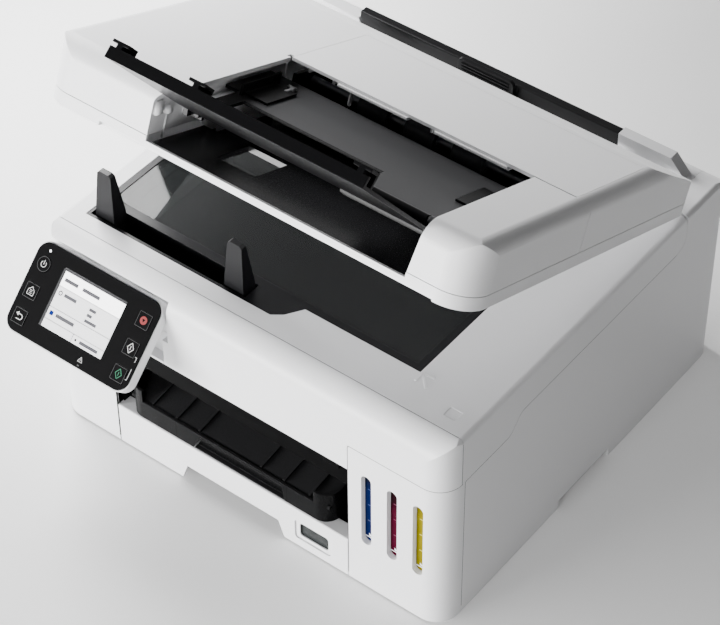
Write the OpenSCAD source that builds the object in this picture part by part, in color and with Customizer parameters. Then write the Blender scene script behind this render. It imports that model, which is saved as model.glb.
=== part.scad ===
/* [Body] */
// Width of the printer body
body_w = 374; // [368:1:390]
// Depth of the printer body, from the front face to the back face
body_d = 365; // [361:1:380]
// Height of the deck around the scanning glass
deck_z = 189; // [187:1:196]
// Height of the seam between the lower body and the scanner housing, at the front
seam_z = 143.6; // [140:0.2:146]
// How far that seam steps up along the sides
seam_rise = 14.4; // [10:0.2:18]
// Thickness of the moulded covers
wall = 2.5; // [2:0.1:3]
// Plan radius of the two front corners
front_corner_r = 20; // [16:1:24]
// Plan radius of the two back corners
back_corner_r = 15; // [10:1:20]
// Radius of the rolled edges between the deck and the front and back faces
roll_r = 19; // [14:1:19]
// Radius of the edges between the deck and the side faces
side_edge_r = 4; // [3:0.5:6]
// Height of the rubber feet below the covers
foot_h = 1.5; // [1:0.1:2.5]

/* [Output slot and cassette] */
// Width of the output slot
slot_w = 225.2; // [224:0.2:226]
// Height of the upper edge of the output slot
slot_top = 118.5; // [114:0.5:122]
// Height of the flat top of the cassette front
cassette_top = 41; // [39:0.5:43]
// Distance of the slot centre to the left of the middle of the body
slot_shift = 11.6; // [11:0.1:13]
// Depth of the paper cassette, with its front
cassette_d = 335; // [310:1:340]
// Width of the output tray
tray_w = 195.6; // [188:0.2:196]
// Depth of the output tray
tray_d = 118; // [110:1:120]
// Height of the output tray's front wall
tray_wall_h = 17.5; // [15:0.5:20]

/* [Ink tanks] */
// Space between neighbouring tanks
tank_gap = 3; // [2:0.5:4]
// Depth of a tank from front to back
tank_d = 90; // [70:1:100]
// Width of a tank window
window_w = 9; // [7:0.5:11]
// Height of a tank window
window_h = 73; // [60:1:76]
// Height of the lower end of the windows
window_z = 48.5; // [46:0.5:56]

/* [Control panel] */
// Width of the control panel
panel_w = 121; // [119:0.5:123]
// Height of the control panel along its face
panel_h = 74; // [73:0.5:76]
// Thickness of the control panel
panel_t = 10; // [9:0.5:11]
// Angle between the panel face and the vertical
panel_tilt = 45.4; // [40:0.2:50]
// Width of the display
display_w = 58.6; // [56:0.2:60]
// Height of the display
display_h = 44.4; // [42:0.2:46]
// Side of the square keys
key_w = 12; // [10:0.5:13]

/* [Lid and sheet feeder] */
// Angle at which the lid stands open
lid_open = 21.8; // [15:0.1:26]
// Thickness of the closed lid
lid_t = 50.5; // [50:0.5:54]
// How far the lid front stands proud of the body front when closed
lid_lip = 4.6; // [3:0.2:6]
// Front corner radius of the lid
lid_corner_r = 25; // [20:1:28]
// Width of the feeder opening at the top of the lid
bay_w = 215; // [213:0.5:217]
// Distance of the middle of the feeder opening to the right of the body's middle
bay_shift = 34.5; // [33:0.5:36]
// Depth of the feeder opening, from the tray hinge to the feeder cover
bay_d = 118; // [112:1:122]
// Depth of the feeder cover from front to back
cover_d = 95; // [85:1:98]
// Angle through which the feeder flap is folded forward
flap_open = 150; // [140:1:160]

/* [Scanner] */
// Length of the scanning glass across the body
glass_w = 284; // [276:1:288]
// Width of the scanning glass from front to back
glass_d = 211; // [205:1:214]
// Height of the stopper fingers above the deck
finger_h = 45; // [38:1:46]

/* [Clearances] */
// Gap between parts that move past each other
gap = 0.3; // [0.25:0.05:0.4]
// Width of the visible joints between covers
seam = 0.5; // [0.4:0.1:0.8]
// Radial running clearance of pins and shafts
run = 0.05; // [0.03:0.01:0.08]

/* [Hidden] */
$fn = 64;

white = [0.86, 0.86, 0.87];
pale_grey = [0.72, 0.72, 0.74];
dark = [0.13, 0.13, 0.14];
black = [0.04, 0.04, 0.05];
metal = [0.68, 0.69, 0.71];
rubber = [0.08, 0.08, 0.08];

// The model is laid out from the body's front face and then moved so that the origin is under its middle
hw = body_w / 2;
face_inset = 1.2;
panel_top_y = 2.8;
panel_top_z = deck_z - 9;
panel_front_y = panel_top_y - (panel_h - face_inset) * sin(panel_tilt);
origin_y = (panel_front_y + body_d) / 2;

slot_x1 = slot_w / 2 - slot_shift;
slot_x0 = -slot_w / 2 - slot_shift;
paper_x = (slot_x0 + slot_x1) / 2;
side_piece_w = 20;
fascia_d = 19.2;
tank_cover_d = 22.9;

// Seam between the lower body and the scanner housing
step_y0 = 74;
step_y1 = 93;
step_points = 8;
deck_back_y = body_d - 61.5;
seam_end_r = 12;
seam_top_z = seam_z + seam_rise;

// Hinges at the back
lid_hinge_y = body_d - 51.5;
lid_hinge_z = deck_z + 8;
unit_hinge_y = body_d - 47;
unit_hinge_z = deck_z - 7;
hinge_x = 119;
hinge_arm_w = 14;
hinge_pin_r = 3;
hinge_eye_r = 6;
lug_w = 5;
notch_w = 34;

// Print engine
engine_wall = 3;
engine_x0 = slot_x0 - 2 - engine_wall;
engine_x1 = slot_x1 + 2;
engine_wall_z = seam_z - 32;
lug_base_z = engine_wall_z - 14;
floor_z = foot_h + 2;
floor_t = 2.5;
shelf_z = cassette_top + 0.6;
shelf_t = 2;
rail_y = 218;
rail_z = seam_z - 6;
rail_depth = 32;
belt_y = 240;
belt_r = 5;
belt_w = 4;
pulley_x = 100;
carriage_w = 70;
carriage_y0 = 148;
carriage_y1 = 214;
platen_z = 88;
exit_y = 132;
exit_r = 7;
exit_z = platen_z - 3;
feed_y = 226;
feed_r = 8;
feed_z = platen_z - 4;
pick_y = 296;
pick_r = 9;
shaft_r = 3;

// Rear paper feed
throat_y0 = body_d - 29;
throat_d = 14;
throat_wall = 2;
support_x0 = -146.5;
support_x1 = 101.5;
ridge_h = 14.5;

// Cassette and output tray
cassette_x0 = slot_x0 + seam;
cassette_x1 = slot_x1 - seam;
cassette_front_d = 13;
tray_x0 = paper_x - 3.6 - tray_w / 2;
tray_x1 = tray_x0 + tray_w;
tray_corner_r = 13;
tray_z = cassette_top + 0.6;
tray_post_h = 29;
tray_post_w = 15;
tray_slope = 9;
grip_x0 = -49;
grip_x1 = 36;

// Tanks, from the outer right tank inwards
tank_side_gap = 9.5;
tank_pitch = (hw - wall - engine_x1 - engine_wall - tank_side_gap) / 3;
tank_w = tank_pitch - tank_gap;
tank_x = [for (i = [0 : 2]) hw - wall - tank_side_gap - tank_w / 2 - 1.5 - (2 - i) * tank_pitch];
tank_y = 6;
tank_z = 30;
tank_top_z = seam_z - 11;
black_tank_w = engine_x0 + hw - wall - 11.3;
black_tank_x = -hw + wall + 7 + black_tank_w / 2;
black_window_z = 57;
cap_r = 7.5;
// Depth of the collars around the windows, and their thickness
window_depth = 5.6;
collar = 1.5;
cap_h = 7;

// Control panel
panel_x0 = -hw;
bay_edge_x = -70.7;
bay_recess_d = 8;
panel_room_x = panel_x0 + panel_w + 0.8;
panel_room_d = 13.5;
panel_corner_r = 11;
face_t = 1.6;
panel_pivot = [-14, -panel_t - 4.5];
panel_hinge_x0 = 34;
panel_hinge_x1 = 86;
panel_eye_r = 4;
key_travel = 0.8;
key_proud = 0.4;
key_flange_t = 1.2;
display_at = [31.3, -58.6];
left_key_u = 11.3;
right_key_u = 109.3;
key_v = [-18, -40.2, -61];

// Lid, in its closed place
lid_w = body_w;
lid_front_y = -lid_lip;
lid_z = deck_z + 1;
lid_back_y = lid_hinge_y - 13.5;
lid_top_z = lid_z + lid_t;
lid_seam_z = lid_z + 10.5;
lid_edge_r = 11;
lid_front_r = 14;
lid_back_r = 10;
bay_x0 = bay_shift - bay_w / 2;
bay_x1 = bay_shift + bay_w / 2;
bay_draft0 = 15;
bay_cove_r = 13;
bay_draft1 = 6.5;
bay_y0 = 13;
bay_y1 = bay_y0 + bay_d;
flap_axis_z = lid_top_z - 8;
flap_y1 = bay_y1 - 2.2;
cover_x0 = bay_x0 + 0.5;
cover_x1 = hw - 10.3;
cover_y1 = bay_y1 + cover_d;
cover_t = 2.5;
feed_tray_z = lid_top_z - 19.5;
out_floor_z = lid_z + 3;
finger_slot = [26, 64];
finger_rim = 1.2;

// Scanner
glass_x1 = hw - 69;
glass_x0 = glass_x1 - glass_w;
glass_y0 = 60;
glass_y1 = glass_y0 + glass_d;
frame_edge = 6.5;
frame_t = 4.5;
stopper_y0 = 34;
stopper_y1 = 54;
stopper_x0 = glass_x0 - 5;
stopper_x1 = 5;
pan_z = deck_z - 39;
finger_w = 22;
finger_top_w = 13;
finger_pivot_z = deck_z - 14;
finger_pin_r = 2;
finger_y0 = stopper_y0 + 3.5;
finger_d = 14;
finger_left_x = stopper_x0 + 14;
finger_right_x = -33;

module from_front() translate([0, -origin_y, 0]) children();
module box(lo, hi) translate(lo) cube(hi - lo);
module rect(x0, y0, x1, y1) translate([x0, y0]) square([x1 - x0, y1 - y0]);
module along_x(x0, x1) translate([x0, 0, 0]) rotate([90, 0, 90]) linear_extrude(x1 - x0) children();
module along_y(y0, y1) translate([0, y1, 0]) rotate([90, 0, 0]) linear_extrude(y1 - y0) children();
module along_z(z0, z1) translate([0, 0, z0]) linear_extrude(z1 - z0) children();
module rod_x(x0, x1, y, z, r) translate([x0, y, z]) rotate([0, 90, 0]) cylinder(h = x1 - x0, r = r);
module rod_y(y0, y1, x, z, r) translate([x, y0, z]) rotate([-90, 0, 0]) cylinder(h = y1 - y0, r = r);
module rod_z(z0, z1, x, y, r) translate([x, y, z0]) cylinder(h = z1 - z0, r = r);

// Rectangle whose corners have radius r0 on the low side of y and r1 on the high side
module rounded(x0, y0, x1, y1, r0, r1) {
    rect(x0, y0 + r0, x1, y1 - r1);
    rect(x0 + r0, y0, x1 - r0, y0 + r0);
    rect(x0 + r1, y1 - r1, x1 - r1, y1);
    for (x = [x0 + r0, x1 - r0]) translate([x, y0 + r0]) circle(r0);
    for (x = [x0 + r1, x1 - r1]) translate([x, y1 - r1]) circle(r1);
}
// Rectangle whose upper corners have radii r0 and r1
module topped(x0, z0, x1, z1, r0, r1) {
    rect(x0, z0, x1, z1 - max(r0, r1));
    rect(x0 + r0, z0, x1 - r1, z1);
    rect(x0, z0, x0 + r0, z1 - r0);
    rect(x1 - r1, z0, x1, z1 - r1);
    translate([x0 + r0, z1 - r0]) circle(r0);
    translate([x1 - r1, z1 - r1]) circle(r1);
}
module slot_hole(x0, z0, x1, z1) {
    r = (x1 - x0) / 2;
    rect(x0, z0 + r, x1, z1 - r);
    for (z = [z0 + r, z1 - r]) translate([x0 + r, z]) circle(r);
}

// Outer form of the whole body, drawn in by t on every side
module envelope(t) {
    intersection() {
        along_z(t > 0 ? -1 : foot_h, deck_z - t)
            rounded(-hw + t, t, hw - t, body_d - t, front_corner_r - t, back_corner_r - t);
        along_x(-hw, hw) topped(t, -2, body_d - t, deck_z - t, roll_r - t, roll_r - t);
        along_y(0, body_d) topped(-hw + t, -2, hw - t, deck_z - t, max(side_edge_r - t, 0.4),
            max(side_edge_r - t, 0.4));
    }
}
module shell() difference() { envelope(0); envelope(wall); }

// Side view of everything above the seam, with the seam line moved by g
module above_seam(g) {
    step = [for (i = [0 : step_points]) [step_y0 + (step_y1 - step_y0) * i / step_points,
        seam_z + g + seam_rise * (1 - cos(180 * i / step_points)) / 2]];
    curve = [for (i = [0 : step_points]) [deck_back_y - seam_end_r + (seam_end_r - g) * sin(90 * i / step_points),
        seam_top_z + seam_end_r - (seam_end_r - g) * cos(90 * i / step_points)]];
    polygon(concat([[-5, deck_z + 5], [-5, seam_z + g]], step, curve, [[deck_back_y - g, deck_z + 5]]));
}
module upper_side() along_x(-hw - 1, hw + 1) above_seam(seam / 2);
module lower_side() difference() {
    box([-hw - 1, -1, 0], [hw + 1, body_d + 1, deck_z + 1]);
    along_x(-hw - 2, hw + 2) above_seam(-seam / 2);
}

// ---- Lower body ----
module base_frame() {
    color(dark) from_front() difference() {
        union() {
            along_z(floor_z, floor_z + floor_t) rounded(-hw + wall + gap, 22, hw - wall - gap,
                body_d - wall - gap, 1, back_corner_r - wall - gap);
            box([engine_x0, 14, floor_z], [slot_x1 - gap, 23, floor_z + floor_t]);
            for (x = [engine_x0, engine_x1])
                box([x, 24, floor_z], [x + engine_wall, body_d - 30, engine_wall_z]);
            box([engine_x0, 24, shelf_z - shelf_t], [engine_x1 + engine_wall, body_d - 30, shelf_z]);
            for (s = [-1, 1]) for (x = [hinge_x - hinge_arm_w / 2 - lug_w, hinge_x + hinge_arm_w / 2])
                hinge_lug(s, x);
            // Brackets that carry the lugs beside the engine walls
            box([min(engine_x0, -hinge_x - hinge_arm_w / 2 - lug_w), unit_hinge_y - 10, lug_base_z],
                [-hinge_x + hinge_arm_w / 2 + lug_w, unit_hinge_y + hinge_eye_r, engine_wall_z]);
            box([min(engine_x1, hinge_x - hinge_arm_w / 2 - lug_w), unit_hinge_y - 10, lug_base_z],
                [hinge_x + hinge_arm_w / 2 + lug_w, unit_hinge_y + hinge_eye_r, engine_wall_z]);
            // Seats of the three colour tanks and of the black tank
            box([engine_x1, 24, tank_z - 4], [hw - wall - gap, tank_y + tank_d, tank_z]);
            box([-hw + wall + gap, 24, tank_z - 4], [engine_x0 + 1, tank_y + tank_d, tank_z]);
            for (x = [-hw + wall + gap, hw - wall - gap - 4])
                box([x, 40, floor_z], [x + 4, 60, tank_z - 3]);
            // Bracket of the pick roller
            for (x = [-30, 24]) box([x, pick_y - 8, shelf_z - 1], [x + 4, pick_y + 8, shelf_z + 14]);
        }
        for (x = [engine_x0 - 1, engine_x1 - 1]) {
            rod_x(x, x + engine_wall + 2, exit_y, exit_z, shaft_r + run);
            rod_x(x, x + engine_wall + 2, feed_y, feed_z, shaft_r + run);
        }
        rod_x(engine_x0 - 1, engine_x0 + engine_wall + 1, feed_y + 34, feed_z, 1.5 + run);
        rod_x(-32, 30, pick_y, shelf_z + 6, shaft_r + run);
        box([-21, pick_y - 12, shelf_z - shelf_t - 1], [19, pick_y + 12, shelf_z + 1]);
        for (s = [-1, 1]) rod_x(s * hinge_x - 15, s * hinge_x + 15, unit_hinge_y, unit_hinge_z,
            hinge_pin_r + run);
    }
}
module hinge_lug(s, x) {
    x0 = s > 0 ? x : -x - lug_w;
    rod_x(x0, x0 + lug_w, unit_hinge_y, unit_hinge_z, hinge_eye_r);
    box([x0, unit_hinge_y - 10, lug_base_z], [x0 + lug_w, unit_hinge_y + hinge_eye_r, unit_hinge_z - 4]);
}
module feet() {
    color(rubber) from_front() for (x = [-1, 1]) for (y = [34, body_d - 34])
        rod_z(0, floor_z, x * (hw - 26), y, 8);
}

module side_piece(x0, x1) {
    intersection() { shell(); lower_side(); box([x0, -1, 0], [x1, body_d + 1, deck_z + 1]); }
}
// Raised part of the lower edge, where a hand goes under the body
module hand_recess() box([-hw - 1, 148, 0], [hw + 1, 216, 10]);

module left_side_cover() {
    color(white) from_front() difference() {
        union() {
            side_piece(-hw - 1, -hw + side_piece_w);
            intersection() {
                union() {
                    shell();
                    box([-hw + 0.5, 1, slot_top], [bay_edge_x, bay_recess_d + wall, seam_z]);
                }
                envelope(0);
                lower_side();
                union() {
                    box([-hw - 1, -1, 0], [slot_x0 - seam / 2, 22, slot_top + 1]);
                    box([-hw - 1, -1, slot_top], [bay_edge_x - seam, 22, seam_z + 1]);
                }
            }
            intersection() {
                box([-hw + 1, 1, slot_top], [bay_edge_x - seam, bay_recess_d + wall, slot_top + wall]);
                envelope(0);
            }
            along_y(0.5, window_depth) slot_hole(black_tank_x - window_w / 2 - collar,
                black_window_z - collar,
                black_tank_x + window_w / 2 + collar, slot_top - 5 + collar);
        }
        box([-hw - 1, -1, slot_top + wall], [bay_edge_x + 1, bay_recess_d, seam_z + 1]);
        hand_recess();
        along_y(-1, window_depth + 1) slot_hole(black_tank_x - window_w / 2, black_window_z,
            black_tank_x + window_w / 2, slot_top - 5);
    }
    screw_tabs(-1);
}
module right_side_cover() {
    color(white) from_front() difference() {
        side_piece(hw - side_piece_w, hw + 1);
        box([hw - side_piece_w - 1, -2, 0], [hw + 2, tank_cover_d + seam / 2, seam_z + 1]);
        box([hw - side_piece_w - 1, -2, 0], [hw - front_corner_r, tank_cover_d + 5, seam_z + 1]);
        hand_recess();
    }
    screw_tabs(1);
}
// Tabs behind the rear cover that take its screws
module screw_tabs(s) {
    color(white) from_front() for (z = screw_z) difference() {
        box([min(s * (screw_x - 6), s * (screw_x + 8)), body_d - 2 * wall, z - 8],
            [max(s * (screw_x - 6), s * (screw_x + 8)), body_d - wall, z + 8]);
        rod_y(body_d - 2 * wall - 1, body_d, s * screw_x, z, 1.2);
    }
}
screw_x = hw - side_piece_w - 6;
screw_z = [30, seam_z];
screw_head_h = 1.4;

module tank_cover() {
    color(white) from_front() difference() {
        union() {
            intersection() {
                shell();
                lower_side();
                box([slot_x1 + 0.1, -1, 0], [hw + 1, tank_cover_d - seam / 2, seam_z + 1]);
            }
            box([slot_x1 + 0.1, 1, foot_h], [slot_x1 + 0.1 + 1.6, tank_cover_d - 1, seam_z - seam / 2]);
            // Deep collars around the windows
            for (x = tank_x) along_y(0.5, window_depth)
                slot_hole(x - window_w / 2 - collar, window_z - collar, x + window_w / 2 + collar,
                    window_z + window_h + collar);
        }
        for (x = tank_x) along_y(-1, window_depth + 1)
            slot_hole(x - window_w / 2, window_z, x + window_w / 2, window_z + window_h);
    }
}
module rear_cover() {
    color(white) from_front() difference() {
        intersection() {
            shell();
            lower_side();
            box([-hw + side_piece_w + seam / 2, 150, 0],
                [hw - side_piece_w - seam / 2, body_d + 1, deck_z + 1]);
        }
        for (s = [-1, 1]) box([s * hinge_x - notch_w / 2, deck_back_y - 5, deck_z - wall - 1],
            [s * hinge_x + notch_w / 2, unit_hinge_y + hinge_eye_r + 1.5, deck_z + 1]);
        // Feed opening, sockets, inlet and cartridge
        box([-130 - gap, throat_y0 - gap, deck_z - 20],
            [107 + gap, throat_y0 + throat_d + gap, deck_z + 1]);
        box(inlet_lo - [gap, 0, gap], inlet_hi + [gap, 5, gap]);
        for (b = [usb_box, lan_box]) box(b[0] - [gap, 0, gap], b[1] + [gap, 5, gap]);
        box(cartridge_lo - [gap, 0, gap], cartridge_hi + [gap, 5, gap]);
        for (s = [-1, 1]) for (z = screw_z) {
            rod_y(body_d - wall - 1, body_d + 1, s * screw_x, z, 1.2);
            rod_y(body_d - screw_head_h - 0.1, body_d + 1, s * screw_x, z, 3.3);
        }
    }
}
inlet_lo = [-160, body_d - 20, 62];
inlet_hi = [-134, body_d - 0.4, 82];
board_z = 85.9;
usb_box = [[133.5, body_d - 16, board_z], [145.5, body_d - 0.5, board_z + 12.5]];
lan_box = [[148, body_d - 16, board_z], [164, body_d - 0.5, board_z + 15.5]];
cartridge_lo = [112, body_d - 100, floor_z + floor_t];
cartridge_hi = [150, body_d - 0.4, 40];

module cover_screws() {
    color(metal) from_front() for (s = [-1, 1]) for (z = screw_z) {
        rod_y(body_d - screw_head_h - 0.1, body_d - 0.1, s * screw_x, z, 3);
        rod_y(body_d - 7, body_d - screw_head_h, s * screw_x, z, 1.15);
    }
}
module slot_bezel() {
    // Left of this the bezel passes under the recess of the control panel
    x0 = bay_edge_x + wall + gap;
    color(black) from_front() {
        box([slot_x0 + 1, 4, slot_top - 22], [slot_x1 - 0.5, 6, slot_top - 0.1]);
        box([x0, 4, slot_top - 1], [slot_x1 - 0.5, 6, slot_top + 12]);
        box([slot_x0 + 1, 6, shelf_z], [slot_x0 + 2.5, 24 - gap, slot_top - 0.1]);
        box([slot_x1 - 2, 6, shelf_z], [slot_x1 - 0.5, 24 - gap, slot_top + 12]);
        box([slot_x0 + 1, 14, shelf_z], [slot_x0 + 4, 24 - gap, slot_top - 20]);
        box([x0, 6, slot_top + 10], [slot_x1 - 1, 40, slot_top + 12]);
        box([slot_x0 + 2, 12 + gap, slot_top + 10], [x0 + 1, 40, slot_top + 12]);
        // Small tab under the upper edge
        box([78, 1.2, slot_top - 6.5], [92, 4.5, slot_top - 2.5]);
    }
}

module tank_body(x, w, z0, z1, y0) {
    along_z(z0, z1) rounded(x - w / 2, y0, x + w / 2, y0 + tank_d, 3, 3);
}
module colour_tank(i) {
    from_front() {
        tank_body(tank_x[i], tank_w, tank_z, tank_top_z, tank_y);
        along_y(window_depth - 1.2, tank_y + 3) slot_hole(tank_x[i] - window_w / 2 + gap, window_z + gap,
            tank_x[i] + window_w / 2 - gap, window_z + window_h - gap);
    }
}
module ink_tank_cyan() { color([0.10, 0.24, 0.55]) colour_tank(0); }
module ink_tank_magenta() { color([0.55, 0.05, 0.25]) colour_tank(1); }
module ink_tank_yellow() { color([0.75, 0.68, 0.10]) colour_tank(2); }
module ink_tank_black() {
    color([0.06, 0.06, 0.07]) from_front() {
        tank_body(black_tank_x, black_tank_w, tank_z, slot_top - 1, tank_y + 6);
        along_y(window_depth - 1.2, tank_y + 9) slot_hole(black_tank_x - window_w / 2 + gap,
            black_window_z + gap,
            black_tank_x + window_w / 2 - gap, slot_top - 5 - gap);
    }
}
module tank_caps() {
    color(dark) from_front() {
        for (x = tank_x) rod_z(tank_top_z, tank_top_z + cap_h, x, tank_y + 24, cap_r);
        rod_z(slot_top - 1, slot_top - 1 + cap_h, black_tank_x, tank_y + 30, cap_r);
    }
}
tube_r = 1.5;
tube_z = rail_z - 7;
module tube_run(x_from, y_from, y_to, x_to) {
    rod_y(y_from, y_to, x_from, tube_z, tube_r);
    translate([x_from, y_to, tube_z]) sphere(tube_r, $fn = 24);
    rod_x(min(x_from, x_to), max(x_from, x_to), y_to, tube_z, tube_r);
}
module ink_tubes() {
    color(black) from_front() {
        for (i = [0 : 2]) tube_run(tank_x[i], tank_y + tank_d, rail_y + 36 + i * 4, -20);
        rod_z(slot_top - 8, tube_z, black_tank_x, tank_y + tank_d + 8, tube_r);
        rod_y(tank_y + tank_d + 6, tank_y + tank_d + 8, black_tank_x, slot_top - 8, tube_r);
        translate([black_tank_x, tank_y + tank_d + 8, slot_top - 8]) sphere(tube_r, $fn = 24);
        translate([black_tank_x, tank_y + tank_d + 8, tube_z]) sphere(tube_r, $fn = 24);
        tube_run(black_tank_x, tank_y + tank_d + 8, rail_y + 48, -20);
        // Joint block where the tubes end
        box([-30, rail_y + rail_depth - 3, tube_z - 4], [-19, rail_y + 52, rail_z - 2]);
    }
}
module power_supply() {
    color(dark) from_front() difference() {
        box([-hw + 7, body_d - 130, floor_z + floor_t], [engine_x0 - 4, body_d - 20, 61.5]);
        for (i = [0 : 7]) box([-hw + 6, body_d - 118 + i * 12, 20], [-hw + 9, body_d - 114 + i * 12, 52]);
    }
}
module mains_inlet() {
    color(black) from_front() difference() {
        box(inlet_lo, inlet_hi);
        inlet_hollow([inlet_lo[0] + 5, inlet_lo[2] + 5.5], [inlet_hi[0] - 5, inlet_hi[2] - 5.5]);
    }
}
module inlet_hollow(lo, hi) {
    r = (hi[1] - lo[1]) / 2;
    along_y(body_d - 15, body_d + 1) {
        rect(lo[0] + r, lo[1], hi[0] - r, hi[1]);
        for (x = [lo[0] + r, hi[0] - r]) translate([x, lo[1] + r]) circle(r);
    }
}
board_x0 = 132.5;
module main_board() {
    from_front() {
        color([0.05, 0.30, 0.16]) box([board_x0, body_d - 120, board_z - 1.6],
            [hw - 9, body_d - 5, board_z]);
        color(metal) for (b = [usb_box, lan_box]) difference() {
            box([b[0][0], b[0][1], board_z], b[1]);
            box([b[0][0] + 1.2, b[0][1] + 4, board_z + 2.6], [b[1][0] - 1.2, b[1][1] + 1, b[1][2] - 1.2]);
        }
        color(black) for (y = [body_d - 100, body_d - 60])
            box([board_x0 + 14, y, board_z], [board_x0 + 32, y + 18, board_z + 3]);
        color(metal) for (x = [cartridge_hi[0] + 4, hw - 14]) for (y = [body_d - 114, body_d - 12])
            rod_z(floor_z + floor_t, board_z - 1.6, x, y, 2.4);
    }
}
module maintenance_cartridge() {
    color(dark) from_front() difference() {
        box(cartridge_lo, cartridge_hi);
        box([cartridge_lo[0] + 14, body_d - 4, cartridge_lo[2] + 18],
            [cartridge_hi[0] - 14, body_d + 1, cartridge_hi[2] - 6]);
    }
}
module carriage_rail() {
    color(metal) from_front() difference() {
        union() {
            box([engine_x0, rail_y, engine_wall_z - 10], [engine_x1 + engine_wall, rail_y + 2, rail_z]);
            box([engine_x0, rail_y, rail_z - 2], [engine_x1 + engine_wall, rail_y + rail_depth, rail_z]);
            for (x = [engine_x0, engine_x1 + engine_wall - 2])
                box([x, rail_y, engine_wall_z + gap], [x + 2, rail_y + rail_depth, rail_z]);
        }
        for (x = [-pulley_x, pulley_x - 12]) rod_z(rail_z - 3, rail_z + 1, x, belt_y, 3.4);
        for (x = [engine_x0 - 1, engine_x1 - 1])
            box([x, rail_y - 1, engine_wall_z - 11], [x + engine_wall + 2, rail_y + 3,
                engine_wall_z + gap]);
    }
}
module print_platen() {
    color(black) from_front() {
        box([engine_x0 + engine_wall + gap, exit_y + 12, platen_z - 6],
            [engine_x1 - gap, feed_y - 12, platen_z - 3]);
        for (x = [engine_x0 + 12 : 12.5 : engine_x1 - 5])
            box([x, exit_y + 14, platen_z - 3.01], [x + 1.5, feed_y - 14, platen_z]);
    }
}
module drive_motors() {
    color(metal) from_front() {
        rod_z(rail_z - 34, rail_z - 2 - gap, -pulley_x, belt_y, 13);
        rod_z(rail_z - 3, rail_z + 6.5, -pulley_x, belt_y, 1.5);
        rod_z(rail_z + 1, rail_z + 6, -pulley_x, belt_y, belt_r - 1.2);
        rod_z(rail_z - 3, rail_z + 6.5, pulley_x - 12, belt_y, 1.5);
        rod_z(rail_z + 1, rail_z + 6, pulley_x - 12, belt_y, belt_r - 1.2);
        rod_x(engine_x0 + engine_wall + gap, engine_x0 + 36, feed_y + 34, feed_z, 13);
        rod_x(engine_x0 - 1.5, engine_x0 + engine_wall + 1, feed_y + 34, feed_z, 1.5);
    }
}
module belt_ring(r) {
    for (x = [-pulley_x, pulley_x - 12]) translate([x, belt_y]) circle(r);
    rect(-pulley_x, belt_y - r, pulley_x - 12, belt_y + r);
}
module carriage_belt() {
    color(rubber) from_front() along_z(rail_z + 1.5, rail_z + 1.5 + belt_w) difference() {
        belt_ring(belt_r);
        belt_ring(belt_r - 1.15);
    }
}
module print_carriage() {
    x0 = paper_x - carriage_w / 2;
    x1 = paper_x + carriage_w / 2;
    color(dark) from_front() {
        along_x(x0, x1) topped(carriage_y0, platen_z + 3, carriage_y1, rail_z, 8, 0.5);
        box([x0, carriage_y1 - 4, rail_z + gap], [x1, rail_y + 12, rail_z + 1.2]);
        box([x0 + 8, carriage_y1 - 8, rail_z - 1], [x1 - 8, carriage_y1 - 1, rail_z + 1.1]);
        // Belt clamp in front of the near run of the belt
        box([paper_x - 10, rail_y + 10, rail_z + gap], [paper_x + 10, belt_y - belt_r - gap, rail_z + 6.5]);
        // Sprung ink dampers on top
        for (i = [0 : 3]) rod_z(rail_z - 0.1, rail_z + 3, x0 + 12 + i * (carriage_w - 24) / 3,
            carriage_y0 + 34, 6);
    }
    color(metal) from_front() box([x0 + 10, carriage_y0 + 10, platen_z + 1.6],
        [x1 - 10, carriage_y1 - 14, platen_z + 3]);
}
module tyres(y, z, r, count, x0, pitch, w) {
    for (i = [0 : count - 1]) rod_x(x0 + i * pitch, x0 + i * pitch + w, y, z, r);
}
module shaft_end_gear(x, y, z, r) {
    teeth = 24;
    for (k = [0 : teeth - 1]) translate([x, y, z]) rotate([k * 360 / teeth, 0, 0])
        translate([0, -0.7, r - 0.6]) cube([5, 1.4, 1.8]);
    rod_x(x, x + 5, y, z, r);
}
module feed_roller() {
    color(dark) from_front() {
        rod_x(engine_x0 - 2, engine_x1 + engine_wall + 7, feed_y, feed_z, shaft_r);
        tyres(feed_y, feed_z, feed_r, 1, engine_x0 + 6, 0, engine_x1 - engine_x0 - 10);
        shaft_end_gear(engine_x1 + engine_wall + 1, feed_y, feed_z, 10);
    }
}
module exit_roller() {
    color(dark) from_front() {
        rod_x(engine_x0 - 2, engine_x1 + engine_wall + 7, exit_y, exit_z, shaft_r);
        tyres(exit_y, exit_z, exit_r, 8, engine_x0 + 14, 27, 12);
        shaft_end_gear(engine_x1 + engine_wall + 1, exit_y, exit_z, 9);
    }
}
module pick_roller() {
    color(rubber) from_front() {
        rod_x(-33, 31, pick_y, shelf_z + 6, shaft_r);
        rod_x(-18, 16, pick_y, shelf_z + 6, pick_r);
    }
}

// ---- Paper cassette and output tray ----
module cassette_front() {
    color(white) from_front() difference() {
        intersection() {
            along_z(foot_h, cassette_top)
                rounded(cassette_x0, 0, cassette_x1, cassette_front_d, 1, 0.5);
            along_x(cassette_x0, cassette_x1) topped(0, 0, cassette_front_d, cassette_top, 1.5, 0.5);
        }
        box([cassette_x0 + 3, wall, 0], [cassette_x1 - 3, cassette_front_d + 1, cassette_top - wall]);
        along_y(-1, wall + 1) polygon([[-61, 0], [-55, 16.75 + foot_h - 1.5],
            [34, 16.75 + foot_h - 1.5], [40, 0]]);
        along_y(-1, wall + 1) rounded(50, 9.2, 84, 29, 3, 3);
    }
}
module cassette_window() {
    color(black) from_front() {
        along_y(1.2, 1.2 + wall + 4) difference() {
            rounded(50 + gap, 9.2 + gap, 84 - gap, 29 - gap, 3, 3);
            rounded(54, 13, 81, 26.5, 2.5, 2.5);
        }
        along_y(3, 4.5) rounded(52, 11, 83, 28, 2.5, 2.5);
    }
}
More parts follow.
